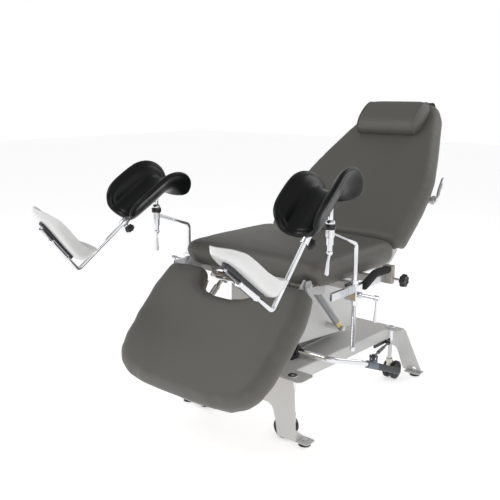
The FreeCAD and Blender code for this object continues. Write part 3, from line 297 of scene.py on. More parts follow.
# ------------------------------------------------------------- mesh building
def mesh_piece(name, verts, faces, material):
    data = bpy.data.meshes.new(name)
    data.from_pydata([tuple(v) for v in verts], [], faces)
    data.validate()
    for poly in data.polygons:
        poly.use_smooth = True
    obj = bpy.data.objects.new(name, data)
    bpy.context.scene.collection.objects.link(obj)
    data.materials.append(M[material] if isinstance(material, str) else material)
    return obj


def apply_modifiers(obj):
    """Bakes the modifiers into the mesh."""
    graph = bpy.context.evaluated_depsgraph_get()
    graph.update()
    made = bpy.data.meshes.new_from_object(obj.evaluated_get(graph), depsgraph=graph)
    old = obj.data
    obj.modifiers.clear()
    obj.data = made
    made.name = obj.name
    bpy.data.meshes.remove(old)
    for poly in made.polygons:
        poly.use_smooth = True


def subdivided(obj, levels=1):
    mod = obj.modifiers.new("Subdivision", "SUBSURF")
    mod.levels = levels
    mod.render_levels = levels
    return obj


def rounded(obj, width=0.0008, segments=2, angle=30.0):
    """Breaks the sharp edges of a CAD node or a built piece, so that they catch the light."""
    weld = obj.modifiers.new("Weld", "WELD")
    weld.merge_threshold = 0.00002
    bevel = obj.modifiers.new("Bevel", "BEVEL")
    bevel.width = width
    bevel.segments = segments
    bevel.limit_method = "ANGLE"
    bevel.angle_limit = math.radians(angle)
    bevel.harden_normals = True
    return obj


def basis(axis, up=Z_AXIS):
    """Two unit vectors that complete a frame with axis."""
    axis = axis.normalized()
    if abs(axis.dot(up)) > 0.95:
        up = Vector((0, 1, 0))
    side = axis.cross(up).normalized()
    return side, axis.cross(side).normalized()


def grid_faces(rows, cols, closed=True):
    faces = []
    for i in range(rows - 1):
        for j in range(cols if closed else cols - 1):
            k = (j + 1) % cols
            faces.append((i * cols + j, i * cols + k, (i + 1) * cols + k, (i + 1) * cols + j))
    return faces


def lathe(name, profile, origin, axis, material, sides=40, lobes=0, lobe_depth=0.0):
    """Body of revolution from (distance along the axis, radius) pairs; lobes make a hand knob."""
    origin = Vector(origin)
    axis = Vector(axis).normalized()
    e1, e2 = basis(axis)
    verts = []
    for along, radius in profile:
        for j in range(sides):
            a = 2 * math.pi * j / sides
            r = radius * (1 - lobe_depth * (0.5 - 0.5 * math.cos(lobes * a))) if lobes else radius
            verts.append(origin + axis * along + (e1 * math.cos(a) + e2 * math.sin(a)) * r)
    faces = grid_faces(len(profile), sides)
    faces.append(tuple(range(sides)))
    last = (len(profile) - 1) * sides
    faces.append(tuple(last + j for j in reversed(range(sides))))
    obj = mesh_piece(name, verts, faces, material)
    for poly in obj.data.polygons[-2:]:
        poly.use_smooth = False
    return obj


def eased(profile, r):
    """Chamfers every corner of a lathe profile by about r so that edges read as rounded."""
    out = [profile[0]]
    for i in range(1, len(profile) - 1):
        p = Vector(profile[i])
        a = Vector(profile[i - 1]) - p
        b = Vector(profile[i + 1]) - p
        cut = min(r, a.length * 0.45, b.length * 0.45)
        if cut < 1e-6 or a.angle(b, math.pi) > 3.0:
            out.append(tuple(p))
            continue
        pa = p + a.normalized() * cut
        pb = p + b.normalized() * cut
        out += [tuple(pa), tuple((pa + pb) / 2 * 0.6 + p * 0.4), tuple(pb)]
    out.append(profile[-1])
    return out


def drum(name, a, b, radius, material, edge=0.0012, sides=40):
    """Round bar or disc from a to b with eased ends."""
    a, b = Vector(a), Vector(b)
    length = (b - a).length
    edge = min(edge, radius * 0.4, length * 0.4)
    profile = [(0.0, radius - edge), (edge * 0.3, radius - edge * 0.3), (edge, radius), (length - edge, radius),
               (length - edge * 0.3, radius - edge * 0.3), (length, radius - edge)]
    return lathe(name, profile, a, b - a, material, sides)


def round_path(points, bend, step=0.004):
    """Polyline with its corners turned into arcs."""
    pts = [Vector(p) for p in points]
    out = [pts[0]]
    for i in range(1, len(pts) - 1):
        a = (pts[i - 1] - pts[i]).normalized()
        b = (pts[i + 1] - pts[i]).normalized()
        half = a.angle(b) / 2.0
        before, after = (pts[i - 1] - pts[i]).length, (pts[i + 1] - pts[i]).length
        cut = min(bend / math.tan(half), before * 0.49, after * 0.49)
        p0, p1 = pts[i] + a * cut, pts[i] + b * cut
        n = max(4, int((math.pi - 2 * half) * bend / step))
        for k in range(n + 1):
            t = k / n
            out.append(p0 * (1 - t) ** 2 + pts[i] * (2 * t * (1 - t)) + p1 * t ** 2)
    out.append(pts[-1])
    return out


def tube(name, path, radius, material, sides=20, closed=False):
    """Sweeps a round section of constant or listed radius along a path."""
    count = len(path)
    radii = radius if isinstance(radius, (list, tuple)) else [radius] * count
    tangents = []
    for i in range(count):
        before = path[(i - 1) % count] if closed or i else path[0]
        after = path[(i + 1) % count] if closed or i < count - 1 else path[-1]
        tangents.append((after - before).normalized())
    side, _ = basis(tangents[0])
    verts = []
    for i, point in enumerate(path):
        side = (side - tangents[i] * side.dot(tangents[i])).normalized()
        other = tangents[i].cross(side)
        for j in range(sides):
            a = 2 * math.pi * j / sides
            verts.append(point + (side * math.cos(a) + other * math.sin(a)) * radii[i])
    faces = grid_faces(count, sides)
    if closed:
        first, last = 0, (count - 1) * sides
        best = min(range(sides), key=lambda s: (verts[first + s] - verts[last]).length)
        faces += [(last + j, last + (j + 1) % sides, (best + j + 1) % sides, (best + j) % sides)
                  for j in range(sides)]
    else:
        faces.append(tuple(range(sides)))
        faces.append(tuple((count - 1) * sides + j for j in reversed(range(sides))))
    return mesh_piece(name, verts, faces, material)


def pad_form(name, place, rings, sides, material):
    """Closed form over a disc: place(r, angle, face) gives a point, face +1 on top and -1 below."""
    verts = [place(0.0, 0.0, 1)]
    for r in rings:
        verts += [place(r, 2 * math.pi * j / sides, 1) for j in range(sides)]
    for r in reversed(rings[:-1]):
        verts += [place(r, 2 * math.pi * j / sides, -1) for j in range(sides)]
    verts.append(place(0.0, 0.0, -1))
    rows = 2 * len(rings) - 1
    faces = [tuple(1 + v for v in f) for f in grid_faces(rows, sides)]
    faces += [(0, 1 + (j + 1) % sides, 1 + j) for j in range(sides)]
    base = 1 + (rows - 1) * sides
    end = len(verts) - 1
    faces += [(end, base + j, base + (j + 1) % sides) for j in range(sides)]
    return mesh_piece(name, verts, faces, material)


# ------------------------------------------------------------------ cushions
def remeshed_copy(nodes, name, voxel):
    """The CAD solids of some nodes as one new even mesh, for a soft piece."""
    bm = bmesh.new()
    for node in nodes:
        bm.from_mesh(NODES[node].data)
    data = bpy.data.meshes.new(name)
    bm.to_mesh(data)
    bm.free()
    obj = bpy.data.objects.new(name, data)
    bpy.context.scene.collection.objects.link(obj)
    weld = obj.modifiers.new("Weld", "WELD")
    weld.merge_threshold = 0.00005
    mesh = obj.modifiers.new("Remesh", "REMESH")
    mesh.mode = "VOXEL"
    mesh.voxel_size = voxel
    apply_modifiers(obj)
    return obj


def coordinates(data):
    co = np.zeros(len(data.vertices) * 3)
    data.vertices.foreach_get("co", co)
    return co.reshape(-1, 3)


def set_coordinates(data, co):
    data.vertices.foreach_set("co", np.ascontiguousarray(co, dtype=float).ravel())
    data.update()


def relax(data, co, times, weight=0.5):
    """Laplacian smoothing of the coordinates."""
    edges = np.zeros(len(data.edges) * 2, int)
    data.edges.foreach_get("vertices", edges)
    edges = edges.reshape(-1, 2)
    count = np.bincount(edges.ravel(), minlength=len(co))[:, None]
    for _ in range(times):
        total = np.zeros_like(co)
        np.add.at(total, edges[:, 0], co[edges[:, 1]])
        np.add.at(total, edges[:, 1], co[edges[:, 0]])
        co = co * (1 - weight) + total / np.maximum(count, 1) * weight
    return co


def inflate(obj, pressure=4.0, frames=20, cap=0.008, sideways=0.002, normal=Z_AXIS):
    """Blows the closed mesh up as cloth, then limits how far a point may go along normal and across it."""
    start = coordinates(obj.data)
    cloth = obj.modifiers.new("Cloth", "CLOTH")
    setting = cloth.settings
    setting.quality = 4
    setting.mass = 0.3
    setting.tension_stiffness = 15
    setting.compression_stiffness = 15
    setting.shear_stiffness = 5
    setting.bending_stiffness = 0.6
    setting.use_pressure = True
    setting.uniform_pressure_force = pressure
    setting.effector_weights.gravity = 0
    cloth.collision_settings.use_collision = False
    cloth.point_cache.frame_start = 1
    cloth.point_cache.frame_end = frames
    scene = bpy.context.scene
    for f in range(1, frames + 1):
        scene.frame_set(f)
    graph = bpy.context.evaluated_depsgraph_get()
    blown = obj.evaluated_get(graph).to_mesh()
    end = coordinates(blown)
    obj.evaluated_get(graph).to_mesh_clear()
    obj.modifiers.remove(cloth)
    scene.frame_set(1)
    n = np.array(normal)
    move = end - start
    along = (move @ n)[:, None] * n
    across = move - along
    for part, limit in ((along, cap), (across, sideways)):
        size = np.linalg.norm(part, axis=1)[:, None]
        part *= limit * np.tanh(size / limit) / np.maximum(size, 1e-9)
    return start + along + across


def cushion(node, board, body, pivot, tangent, normal, voxel, crown, ply, cap=0.006):
    """An upholstered section drawn round its board: remeshed, blown up as cloth, then crowned."""
    obj = remeshed_copy((node, board), node + "_pad", voxel)
    data = obj.data
    data.materials.append(M["upholstery"])
    n = np.array(normal)
    t = np.array(tangent)
    co = coordinates(data)
    base = float(((co - np.array(pivot)) @ n).min())
    top = float(((co - np.array(pivot)) @ n).max())
    co = relax(data, co, 8)
    set_coordinates(data, co)
    co = inflate(obj, cap=cap, normal=normal)
    co = relax(data, co, 4)
    set_coordinates(data, co)
    normals = np.zeros(len(co) * 3)
    data.vertices.foreach_get("normal", normals)
    co = co + normals.reshape(-1, 3) * 0.002
    # crown: highest along the middle, falling off towards the edges
    local = co - np.array(pivot)
    x, s, h = local[:, 0], local @ t, local @ n
    half = np.abs(x).max()
    mid, reach = (s.max() + s.min()) / 2, (s.max() - s.min()) / 2
    round_off = np.clip(1 - np.abs(x / half) ** 2.6, 0, 1) * np.clip(1 - np.abs((s - mid) / reach) ** 4, 0, 1)
    lift = crown * round_off * np.clip((h - base) / (top - base), 0, 1)
    co = co + n * lift[:, None]
    # underneath, the cover stops short and leaves the board's face bare
    h = (co - np.array(pivot)) @ n
    bare = 0.003 * np.clip(1 - (h - base) / 0.006, 0, 1) * (round_off > 0.12)
    co = co + n * (np.maximum(base - h, 0) + bare)[:, None]
    set_coordinates(data, co)
    subdivided(obj)
    apply_modifiers(obj)
    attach(obj, body)
    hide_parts(node)

    # the board shows only underneath, inside the turned-in cover
    made = bpy.data.meshes.new(board + "_ply")
    bm = bmesh.new()
    bm.from_mesh(NODES[board].data)
    bmesh.ops.remove_doubles(bm, verts=bm.verts, dist=0.00002)
    bm.to_mesh(made)
    bm.free()
    local = coordinates(made) - np.array(pivot)
    half, along = np.abs(local[:, 0]).max(), local @ t
    mid, reach = (along.max() + along.min()) / 2, (along.max() - along.min()) / 2
    move = np.outer(-(along - mid) * 0.014 / reach, t) - n * 0.0002
    move[:, 0] -= local[:, 0] * 0.014 / half
    set_coordinates(made, local + move + np.array(pivot))
    plate = bpy.data.objects.new(board + "_ply", made)
    bpy.context.scene.collection.objects.link(plate)
    made.materials.clear()
    made.materials.append(ply)
    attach(plate, body)
    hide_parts(board)


cushion("seat_cushion", "seat_board", "seat", Vector((0, BACK_PIVOT.y, 0)), Vector((0, 1, 0)), Z_AXIS, 0.0065,
        0.016, M["plywood"])
cushion("backrest_cushion", "backrest_board", "backrest", BACK_PIVOT, BACK_T, BACK_N, 0.0070, 0.012,
        PLY_BACK)
cushion("foot_cushion", "foot_board", "foot_section", FOOT_PIVOT, FOOT_T, FOOT_N, 0.0065, 0.008,
        PLY_FOOT)


# -------------------------------------------------------------------- pillow
def local_box(node, pivot, tangent, normal):
    """A node's extent along x, tangent and normal from a pivot."""
    co = coordinates(NODES[node].data) - np.array(pivot)
    spans = [co[:, 0], co @ np.array(tangent), co @ np.array(normal)]
    return [(float(s.min()), float(s.max())) for s in spans]


def pillow():
    """Head roll: an oval bolster with flat sewn ends and a piped seam round each."""
    (x0, x1), (t0, t1), (n0, n1) = local_box("pillow", BACK_PIVOT, BACK_T, BACK_N)
    half, mid_t, radius_t = (x1 - x0) / 2, (t0 + t1) / 2, (t1 - t0) / 2
    radius_n = (n1 - n0) * 0.56
    centre_n = n1 - radius_n
    sides, stations = 56, 61
    path = []
    for i in range(stations):
        u = -1 + 2 * i / (stations - 1)
        path.append((half * 0.97 * u, 1 - 0.07 * abs(u) ** 6))

    def point(x, scale, a):
        c, s = math.cos(a), math.sin(a)
        t = radius_t * scale * math.copysign(abs(c) ** 0.9, c)
        n = centre_n + radius_n * scale * math.copysign(abs(s) ** 0.85, s)
        n = max(n, n0 + 0.0005)
        return BACK_PIVOT + X_AXIS * x + BACK_T * (mid_t + t) + BACK_N * n

    verts, rows = [], 0
    ends = [(0.0, -0.012), (0.45, -0.0105), (0.75, -0.007), (0.93, -0.002), (0.985, 0.0008)]
    for scale, inset in ends:
        x = -half * 0.97 + inset
        verts += [point(x, scale * 0.93 + 0.0001, 2 * math.pi * j / sides) for j in range(sides)]
        rows += 1
    for x, scale in path:
        verts += [point(x, scale, 2 * math.pi * j / sides) for j in range(sides)]
        rows += 1
    for scale, inset in reversed(ends):
        x = half * 0.97 - inset
        verts += [point(x, scale * 0.93 + 0.0001, 2 * math.pi * j / sides) for j in range(sides)]
        rows += 1
    faces = grid_faces(rows, sides)
    obj = mesh_piece("pillow_roll", verts, faces, "upholstery")
    subdivided(obj)
    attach(obj, "backrest")
    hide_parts("pillow")
    for sign, name in ((1, "pillow_piping_right"), (-1, "pillow_piping_left")):
        loop = [point(sign * half * 0.965, 0.945, 2 * math.pi * j / 96) for j in range(96)]
        piping = tube(name, loop, 0.0022, "upholstery", 10, closed=True)
        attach(piping, "backrest")


pillow()


def straps():
    """Two webbing bands that hold the pillow over the top of the backrest."""
    (_, x1), (t0, t1), (n0, n1) = local_box("pillow_straps", BACK_PIVOT, BACK_T, BACK_N)
    width, thick = 0.026, 0.0018
    profile = [(t0 + 0.016, n1), (t1 - 0.028, n1), (t1 - 0.010, n1 - 0.010), (t1 - 0.004, n1 - 0.024),
               (t1 - 0.004, n0 + 0.012), (t1 - 0.007, n0 + 0.003), (t1 - 0.016, n0), (t0, n0)]
    line = round_path([Vector((0, t, n)) for t, n in profile], 0.004)
    for sign, side in ((1, "right"), (-1, "left")):
        centre = sign * (x1 - width / 2)
        verts = []
        across = [-1, -0.96, -0.8, 0.8, 0.96, 1]
        ridge = [0.2, 0.8, 1.0, 1.0, 0.8, 0.2]
        for i, p in enumerate(line):
            q = line[min(i + 1, len(line) - 1)]
            r = line[max(i - 1, 0)]
            d = (q - r).normalized()
            out = Vector((0, d.z, -d.y)) * -1
            for c, k in list(zip(across, ridge)) + [(c, -k) for c, k in reversed(list(zip(across, ridge)))]:
                w = p + out * (thick / 2 * k)
                verts.append(BACK_PIVOT + X_AXIS * (centre + c * width / 2) + BACK_T * w.y + BACK_N * w.z)
        cols = 2 * len(across)
        faces = grid_faces(len(line), cols)
        faces += [tuple(range(cols)), tuple((len(line) - 1) * cols + j for j in reversed(range(cols)))]
        obj = mesh_piece("pillow_strap_" + side, verts, faces, "strap")
        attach(obj, "backrest")
        if sign > 0:
            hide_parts("pillow_straps")


straps()


# --------------------------------------------------------------- leg holders
def heading(sx, degrees):
    """Horizontal unit vector towards the foot end, turned outward by an angle."""
    a = math.radians(degrees)
    return Vector((math.sin(a) * sx, -math.cos(a), 0))


def climb(forward, degrees):
    """A direction raised above the horizontal, and the normal over it."""
    a = math.radians(degrees)
    return forward * math.cos(a) + Z_AXIS * math.sin(a), Z_AXIS * math.cos(a) - forward * math.sin(a)


def bar_frame(side):
    """Ball, corner, upper leg's direction, then the foot leg's own axes: out, up and outward."""
    spec = HOLDERS[side]
    ball = Vector(JOINTS["knee_crutch_tilt_" + side]["pos_m"])
    forward = heading(spec["sx"], spec["yaw"])
    corner = ball + forward * spec["corner"][0] + Z_AXIS * spec["corner"][1]
    leg, _ = climb(forward, spec["up"])
    out, up = climb(heading(spec["sx"], spec["out"][0]), spec["out"][1])
    outward = up.cross(out) * spec["sx"]
    r = math.radians(spec["roll"])
    rolled = up * math.cos(r) - outward * math.sin(r)
    return ball, corner, leg, out, rolled, outward * math.cos(r) + up * math.sin(r)


def superellipse(a, power):
    c, s = math.cos(a), math.sin(a)
    return math.copysign(abs(c) ** (2 / power), c), math.copysign(abs(s) ** (2 / power), s)


# Middle line of half the crutch's cross-section: across and up from the trough.
CRUTCH_MID = ((0.0, 0.0), (0.0249, 0.002), (0.0462, 0.014), (0.0574, 0.0211), (0.0622, 0.0422),
              (0.0786, 0.0659), (0.0987, 0.0761))


def crutch_curve(arc):
    """Mid line of the crutch's trough: across and up, for an arc length from the middle."""
    sign = math.copysign(1.0, arc)
    left = abs(arc)
    pts = [Vector(p) for p in CRUTCH_MID]
    for i in range(len(pts) - 1):
        step = (pts[i + 1] - pts[i]).length
        if left <= step or i == len(pts) - 2:
            p = pts[i] + (pts[i + 1] - pts[i]) * (left / step)
            return Vector((sign * p.x, p.y))
        left -= step


def smooth_table(fn, lo, hi, count, times):
    """Samples a curve and rounds its corners."""
    at = np.linspace(lo, hi, count)
    pts = np.array([tuple(fn(a)) for a in at])
    for _ in range(times):
        pts[1:-1] = (pts[:-2] + pts[2:] + 2 * pts[1:-1]) / 4
    return at, pts


CRUTCH_ARC = sum((Vector(b) - Vector(a)).length for a, b in zip(CRUTCH_MID, CRUTCH_MID[1:]))


def knee_crutch(side):
    """Bent saddle with flared wings, its stem and ball, and the socket that takes the foot bar."""
    spec = HOLDERS[side]
    sx = spec["sx"]
    body = "knee_crutch_" + side
    ball, corner, leg = bar_frame(side)[:3]
    yaw, pitch, roll = spec["crutch"]
    forward = heading(sx, yaw)
    along, up = climb(forward, -pitch)
    outward = up.cross(along) * sx
    r = math.radians(roll)
    outward, up = outward * math.cos(r) + up * math.sin(r), up * math.cos(r) - outward * math.sin(r)
    ridge = ball + forward * spec["ridge"][0] + Z_AXIS * spec["ridge"][1] + outward * spec["ridge"][2]
    arcs, mids = smooth_table(crutch_curve, -CRUTCH_ARC, CRUTCH_ARC, 121, 40)
    middle, reach = (CRUTCH_FRONT - CRUTCH_REAR) / 2, (CRUTCH_FRONT + CRUTCH_REAR) / 2

    def surface(arc):
        i = (arc + CRUTCH_ARC) / (2 * CRUTCH_ARC) * (len(arcs) - 1)
        k = min(max(int(i), 0), len(arcs) - 2)
        f = i - k
        d = mids[k + 1] - mids[k]
        d = d / np.linalg.norm(d)
        return mids[k] * (1 - f) + mids[k + 1] * f, np.array((-d[1], d[0]))

    def place(r, a, face):
        cx, cy = superellipse(a, 3.02)
        arc = cx * CRUTCH_ARC * 0.99 * r
        t = middle + cy * reach * r * (0.92 + 0.08 * min(1.0, abs(arc) / (0.6 * CRUTCH_ARC)) ** 2)
        p, n = surface(arc)
        edge = math.sqrt(max(0.0, 1 - min(r, 1.0) ** 16))
        sewn = 0.0024 * math.exp(-((r - 0.862) / 0.016) ** 2) if face > 0 else 0.0
        under = 0.0105 if face > 0 else 0.0105 + 0.006 * max(0.0, 1 - (p[0] / 0.06) ** 2) * (1 - r ** 8)
        q = p + n * (face * under * edge * (1 + 0.08 * (1 - r ** 2)) - sewn)
        if t >= 0:
            base, rise = along * t, up
        else:
            turn = -t / CRUTCH_BEND
            base = -along * (CRUTCH_BEND * math.sin(turn)) - up * (CRUTCH_BEND * (1 - math.cos(turn)))
            rise = up * math.cos(turn) - along * math.sin(turn)
        return ridge + base + outward * float(q[0]) + rise * float(q[1])

    rings = [0.12, 0.24, 0.36, 0.48, 0.58, 0.67, 0.74, 0.79, 0.825, 0.845, 0.862, 0.879, 0.90, 0.93, 0.955,
             0.975, 0.988, 0.996, 1.0]
    pad = pad_form(body + "_pad", place, rings, 144, "black_padding")
    if sx < 0:
        pad.data.flip_normals()
    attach(pad, body)
    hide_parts(body)
    bead = tube(body + "_seam", [place(0.864, 2 * math.pi * j / 220, 1) for j in range(220)], 0.0010,
                "black_padding", 8, closed=True)

    # under the pad: mounting disc, stem and ball
    rise = spec["ridge"][1]
    disc = lathe(body + "_disc", eased([(rise - 0.026, 0.001), (rise - 0.026, 0.017), (rise - 0.006, 0.017),
                                        (rise - 0.006, 0.001)], 0.001), ball, Z_AXIS, "dark_metal")
    stem = lathe(body + "_stem", eased([(0, 0.001), (0, 0.008), (rise - 0.012, 0.008), (rise - 0.012, 0.001)],
                                       0.001), ball, Z_AXIS, "chrome")
    globe = lathe(body + "_ball", [(0.011 * math.sin(a), 0.011 * math.cos(a) + 1e-5)
                                   for a in np.linspace(-math.pi / 2, math.pi / 2, 17)], ball, Z_AXIS, "chrome")
    top = corner + leg * BAR_LEG
    socket = lathe(body + "_socket", eased([(-0.046, 0.0075), (-0.046, 0.0125), (-0.012, 0.0125), (0.0, 0.0118),
                                            (0.002, 0.008), (0.002, 0.001)], 0.0015), top, leg, "chrome")
    neck = drum(body + "_neck", top, ridge + along * 0.070 - up * 0.013, 0.010, "dark_metal")
    for piece in (bead, disc, stem, globe, socket, neck):
        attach(piece, body)


# Foot shell: half width along the sole, wall height along the sole (as a fraction), then its section
# from the middle of the sole to the rim as fractions of the half width and of the wall's height.
SHELL_PLAN = np.array(((0, 0.0), (0.004, 0.018), (0.012, 0.030), (0.03, 0.037), (0.06, 0.042), (0.13, 0.046),
                       (0.20, 0.053), (0.25, 0.054), (0.28, 0.044), (0.298, 0.024), (0.305, 0.0)))
SHELL_WALL = np.array(((0, 0.078), (0.08, 0.066), (0.2, 0.048), (0.43, 0.038), (0.62, 0.036), (0.82, 0.032),
                       (0.95, 0.021), (1, 0.013)))
SHELL_PROFILE = ((0.25, 0.0), (0.50, 0.004), (0.68, 0.018), (0.79, 0.06), (0.87, 0.16), (0.925, 0.32),
                 (0.955, 0.52), (0.97, 0.72), (0.982, 0.88), (1.0, 0.975), (1.028, 1.0), (1.05, 0.975))


def foot_rest(side):
    """V-bent bar with its clamp sleeve, the plate under the sole and the foot shell."""
    body = "foot_rest_" + side
    spec = HOLDERS[side]
    _, corner, leg, out, up, outward = bar_frame(side)
    path = round_path([corner + leg * (BAR_LEG - 0.014), corner, corner + out * FOOT_LEG], 0.016, 0.002)
    bar = tube(body + "_bar", path, ROD_R, "chrome", 24)
    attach(bar, body)
    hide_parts("foot_bar_" + side)
    collars = [(0.085, 0.0072), (0.085, 0.0104), (0.094, 0.0104), (0.0955, 0.0098), (0.172, 0.0098),
               (0.1735, 0.0104), (0.183, 0.0104), (0.183, 0.0072)]
    sleeve = lathe(body + "_sleeve", eased(collars, 0.0008), corner, out, "chrome")
    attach(sleeve, body)

    # tapered plate between the bar and the sole
    verts = []
    stations = ((0.066, 0.0065), (0.075, 0.009), (0.16, 0.011), (0.235, 0.014), (0.255, 0.011), (0.262, 0.004))
    high = spec["rise"] + 0.001
    for s, w in stations:
        for c, h in ((-1, 0.0055), (-0.9, 0.0045), (0.9, 0.0045), (1, 0.0055), (1, high), (-1, high)):
            verts.append(corner + out * s + outward * (c * w) + up * h)
    faces = grid_faces(len(stations), 6)
    faces += [tuple(range(6)), tuple((len(stations) - 1) * 6 + j for j in reversed(range(6)))]
    plate = mesh_piece(body + "_plate", verts, faces, "dark_metal")
    rounded(plate, 0.0012)
    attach(plate, body)

    # shell: a shoe-like tray, high round the heel and low at the toe
    start = corner + up * spec["rise"] + out * SHELL_START
    length, sides = SHELL_LEN, 128
    middle = length / 2
    verts = [start + out * middle]
    for r, lift in SHELL_PROFILE:
        for j in range(sides):
            a = 2 * math.pi * j / sides
            y = middle - math.cos(a) * middle
            w = float(np.interp(y * 0.305 / length, SHELL_PLAN[:, 0], SHELL_PLAN[:, 1])) * 0.95
            x = math.copysign(w, math.sin(a)) * r
            wall = float(np.interp(y / length, SHELL_WALL[:, 0], SHELL_WALL[:, 1]))
            y = middle + (y - middle) * (0.12 + 0.88 * r if r < 1 else 1 + (r - 1) * 0.30)
            verts.append(start + outward * x + out * y + up * (wall * lift))
    faces = [tuple(1 + v for v in f) for f in grid_faces(len(SHELL_PROFILE), sides)]
    faces += [(0, 1 + (j + 1) % sides, 1 + j) for j in range(sides)]
    shell = mesh_piece(body + "_shell", verts, faces, "white_plastic")
    co = coordinates(shell.data)
    set_coordinates(shell.data, relax(shell.data, co, 4, 0.4))
    solid = shell.modifiers.new("Solidify", "SOLIDIFY")
    solid.thickness = 0.0034
    solid.offset = 0.0
    subdivided(shell)
    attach(shell, body)
    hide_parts("foot_shell_" + side)


def handgrip(side):
    """Foam-covered grip bar beside the seat."""
    sx = HOLDERS[side]["sx"]
    body = "handgrip_" + side
    pivot = Vector(JOINTS["handgrip_swivel_" + side]["pos_m"])
    lo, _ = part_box(body)
    x = pivot.x
    top = pivot.z
    pts = [Vector((x, pivot.y - 0.012, top)), Vector((x, pivot.y - 0.028, top + 0.001)),
           Vector((x + sx * 0.002, pivot.y - 0.104, top + 0.004)),
           Vector((x + sx * 0.009, lo.y + 0.014, lo.z + 0.014))]
    path = round_path(pts, 0.05, 0.003)
    dense = []
    for a, b in zip(path, path[1:]):
        n = max(1, int((b - a).length / 0.004))
        dense += [a + (b - a) * (k / n) for k in range(n)]
    dense.append(path[-1])
    d = (dense[-1] - dense[-2]).normalized()
    radii = [0.0135] * len(dense)
    radii[0], radii[1] = 0.0115, 0.013
    for k in range(1, 7):
        a = k / 6 * math.pi / 2
        dense.append(path[-1] + d * 0.0135 * math.sin(a))
        radii.append(max(0.0135 * math.cos(a), 0.0004))
    grip = tube(body + "_foam", dense, radii, "black_foam", 28)
    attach(grip, body)
    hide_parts(body)
    core = drum(body + "_pin", pivot + Vector((0, 0.008, 0)), pivot + Vector((0, -0.02, 0)), 0.006, "chrome")
    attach(core, body)


def knee_rod(side):
    """Bent rod with the ball clamp on top: cup, knurled sleeve and dark band."""
    body = "knee_rod_" + side
    ball = Vector(JOINTS["knee_crutch_tilt_" + side]["pos_m"])
    lo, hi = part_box("rail_clamp_" + side)
    y = (lo.y + hi.y) / 2
    x = HOLDERS[side]["sx"] * ROD_X
    head = ball + Vector((0, 0.004, -0.030))
    path = round_path([Vector((x, y, ROD_LOW)), Vector((x, y, ROD_BEND[side])), head], 0.020, 0.002)
    rod = tube(body + "_rod", path, ROD_R, "chrome", 24)
    tip = drum(body + "_tip", (x, y, ROD_LOW - 0.0055), (x, y, ROD_LOW + 0.012), 0.0071, "chrome", 0.003)
    cup = [(-0.044, 0.0052), (-0.044, 0.0125)]
    for k in range(6):
        cup += [(-0.042 + k * 0.0035, 0.0140), (-0.0405 + k * 0.0035, 0.0132)]
    cup += [(-0.020, 0.0140), (-0.003, 0.0140), (-0.001, 0.0148), (0.003, 0.0148), (0.006, 0.0125),
            (0.008, 0.0118), (0.0065, 0.0112), (0.004, 0.0112)]
    clamp = lathe(body + "_clamp", eased(cup, 0.0006), ball, Z_AXIS, "chrome", 48)
    hoop = [(-0.020, 0.0142), (-0.020, 0.0172), (-0.004, 0.0172), (-0.004, 0.0142)]
    band = lathe(body + "_band", eased(hoop, 0.0015), ball, Z_AXIS, "black_plastic", 48)
    for piece in (rod, tip, clamp, band):
        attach(piece, body)
    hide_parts(body)


def star_knob(name, body, centre, axis, radius, depth, stem_from, stem_r):
    """Lobed hand knob with a recessed face, and its screw."""
    shares = ((0.0, 0.30), (0.0, 0.55), (0.12, 0.90), (0.30, 1.0), (0.78, 1.0), (0.93, 0.93), (1.0, 0.78),
              (0.985, 0.55), (0.90, 0.46), (0.90, 0.10))
    profile = [(depth * along, radius * out) for along, out in shares]
    knob = lathe(name, eased(profile, radius * 0.06), centre, axis, "black_plastic", 96, lobes=7,
                 lobe_depth=0.20)
    stem = drum(name + "_screw", stem_from, Vector(centre) + Vector(axis) * 0.002, stem_r, "chrome", 0.0006)
    for piece in (knob, stem):
        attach(piece, body)
    return knob


def knobs():
    for side in HOLDERS:
        _, corner, leg = bar_frame(side)[:3]
        pull = X_AXIS.cross(leg).normalized()
        pull = -pull if pull.z > 0 else pull
        start = corner + leg * (BAR_LEG - KNOB_DROP)
        made = star_knob("crutch_knob_" + side + "_star", "crutch_knob_" + side, start + pull * 0.024, pull,
                         0.017, 0.018, start + pull * (ROD_R + 0.0006), 0.004)
        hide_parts("crutch_knob_" + side)
    lo, hi = local_box("grip_knobs", Vector(), Vector((0, 1, 0)), Z_AXIS)[1:]
    y, z = (lo[0] + lo[1]) / 2, (hi[0] + hi[1]) / 2
    for sx, side in ((1, "right"), (-1, "left")):
        made = star_knob("grip_knob_" + side, "seat", Vector((sx * 0.400, y, z)), X_AXIS * sx, 0.023, 0.022,
                         Vector((sx * 0.350, y, z)), 0.005)
        if sx > 0:
            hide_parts("grip_knobs")


def castor_wheels():
    """Twin wheels: a rubber tyre and a grey hub with a raised centre on each."""
    tyre = [(-0.008, 0.0285), (-0.008, 0.0345), (-0.0065, 0.0362), (-0.003, 0.0370), (0.003, 0.0370),
            (0.0065, 0.0362), (0.008, 0.0345), (0.008, 0.0285)]
    hub = [(-0.0076, 0.0052), (-0.0076, 0.0285), (-0.0070, 0.0290), (0.0070, 0.0290), (0.0076, 0.0285),
           (0.0066, 0.0245), (0.0060, 0.0150), (0.0074, 0.0125), (0.0080, 0.0085), (0.0080, 0.0052)]
    for end in ("foot", "head"):
        for side in HOLDERS:
            body = "castor_wheels_%s_%s" % (end, side)
            joint = JOINTS["castor_roll_%s_%s" % (end, side)]
            centre, axis = Vector(joint["pos_m"]), Vector(joint["axis"])
            for k, sign in (("a", 1), ("b", -1)):
                at = centre + axis * (sign * 0.016)
                ring = lathe("%s_tyre_%s" % (body, k), tyre, at, axis * sign, "wheel", 64)
                disc = lathe("%s_hub_%s" % (body, k), eased(hub, 0.0008), at, axis * sign, "wheel_hub", 48)
                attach(ring, body)
                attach(disc, body)
                if sign > 0:
                    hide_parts(body)


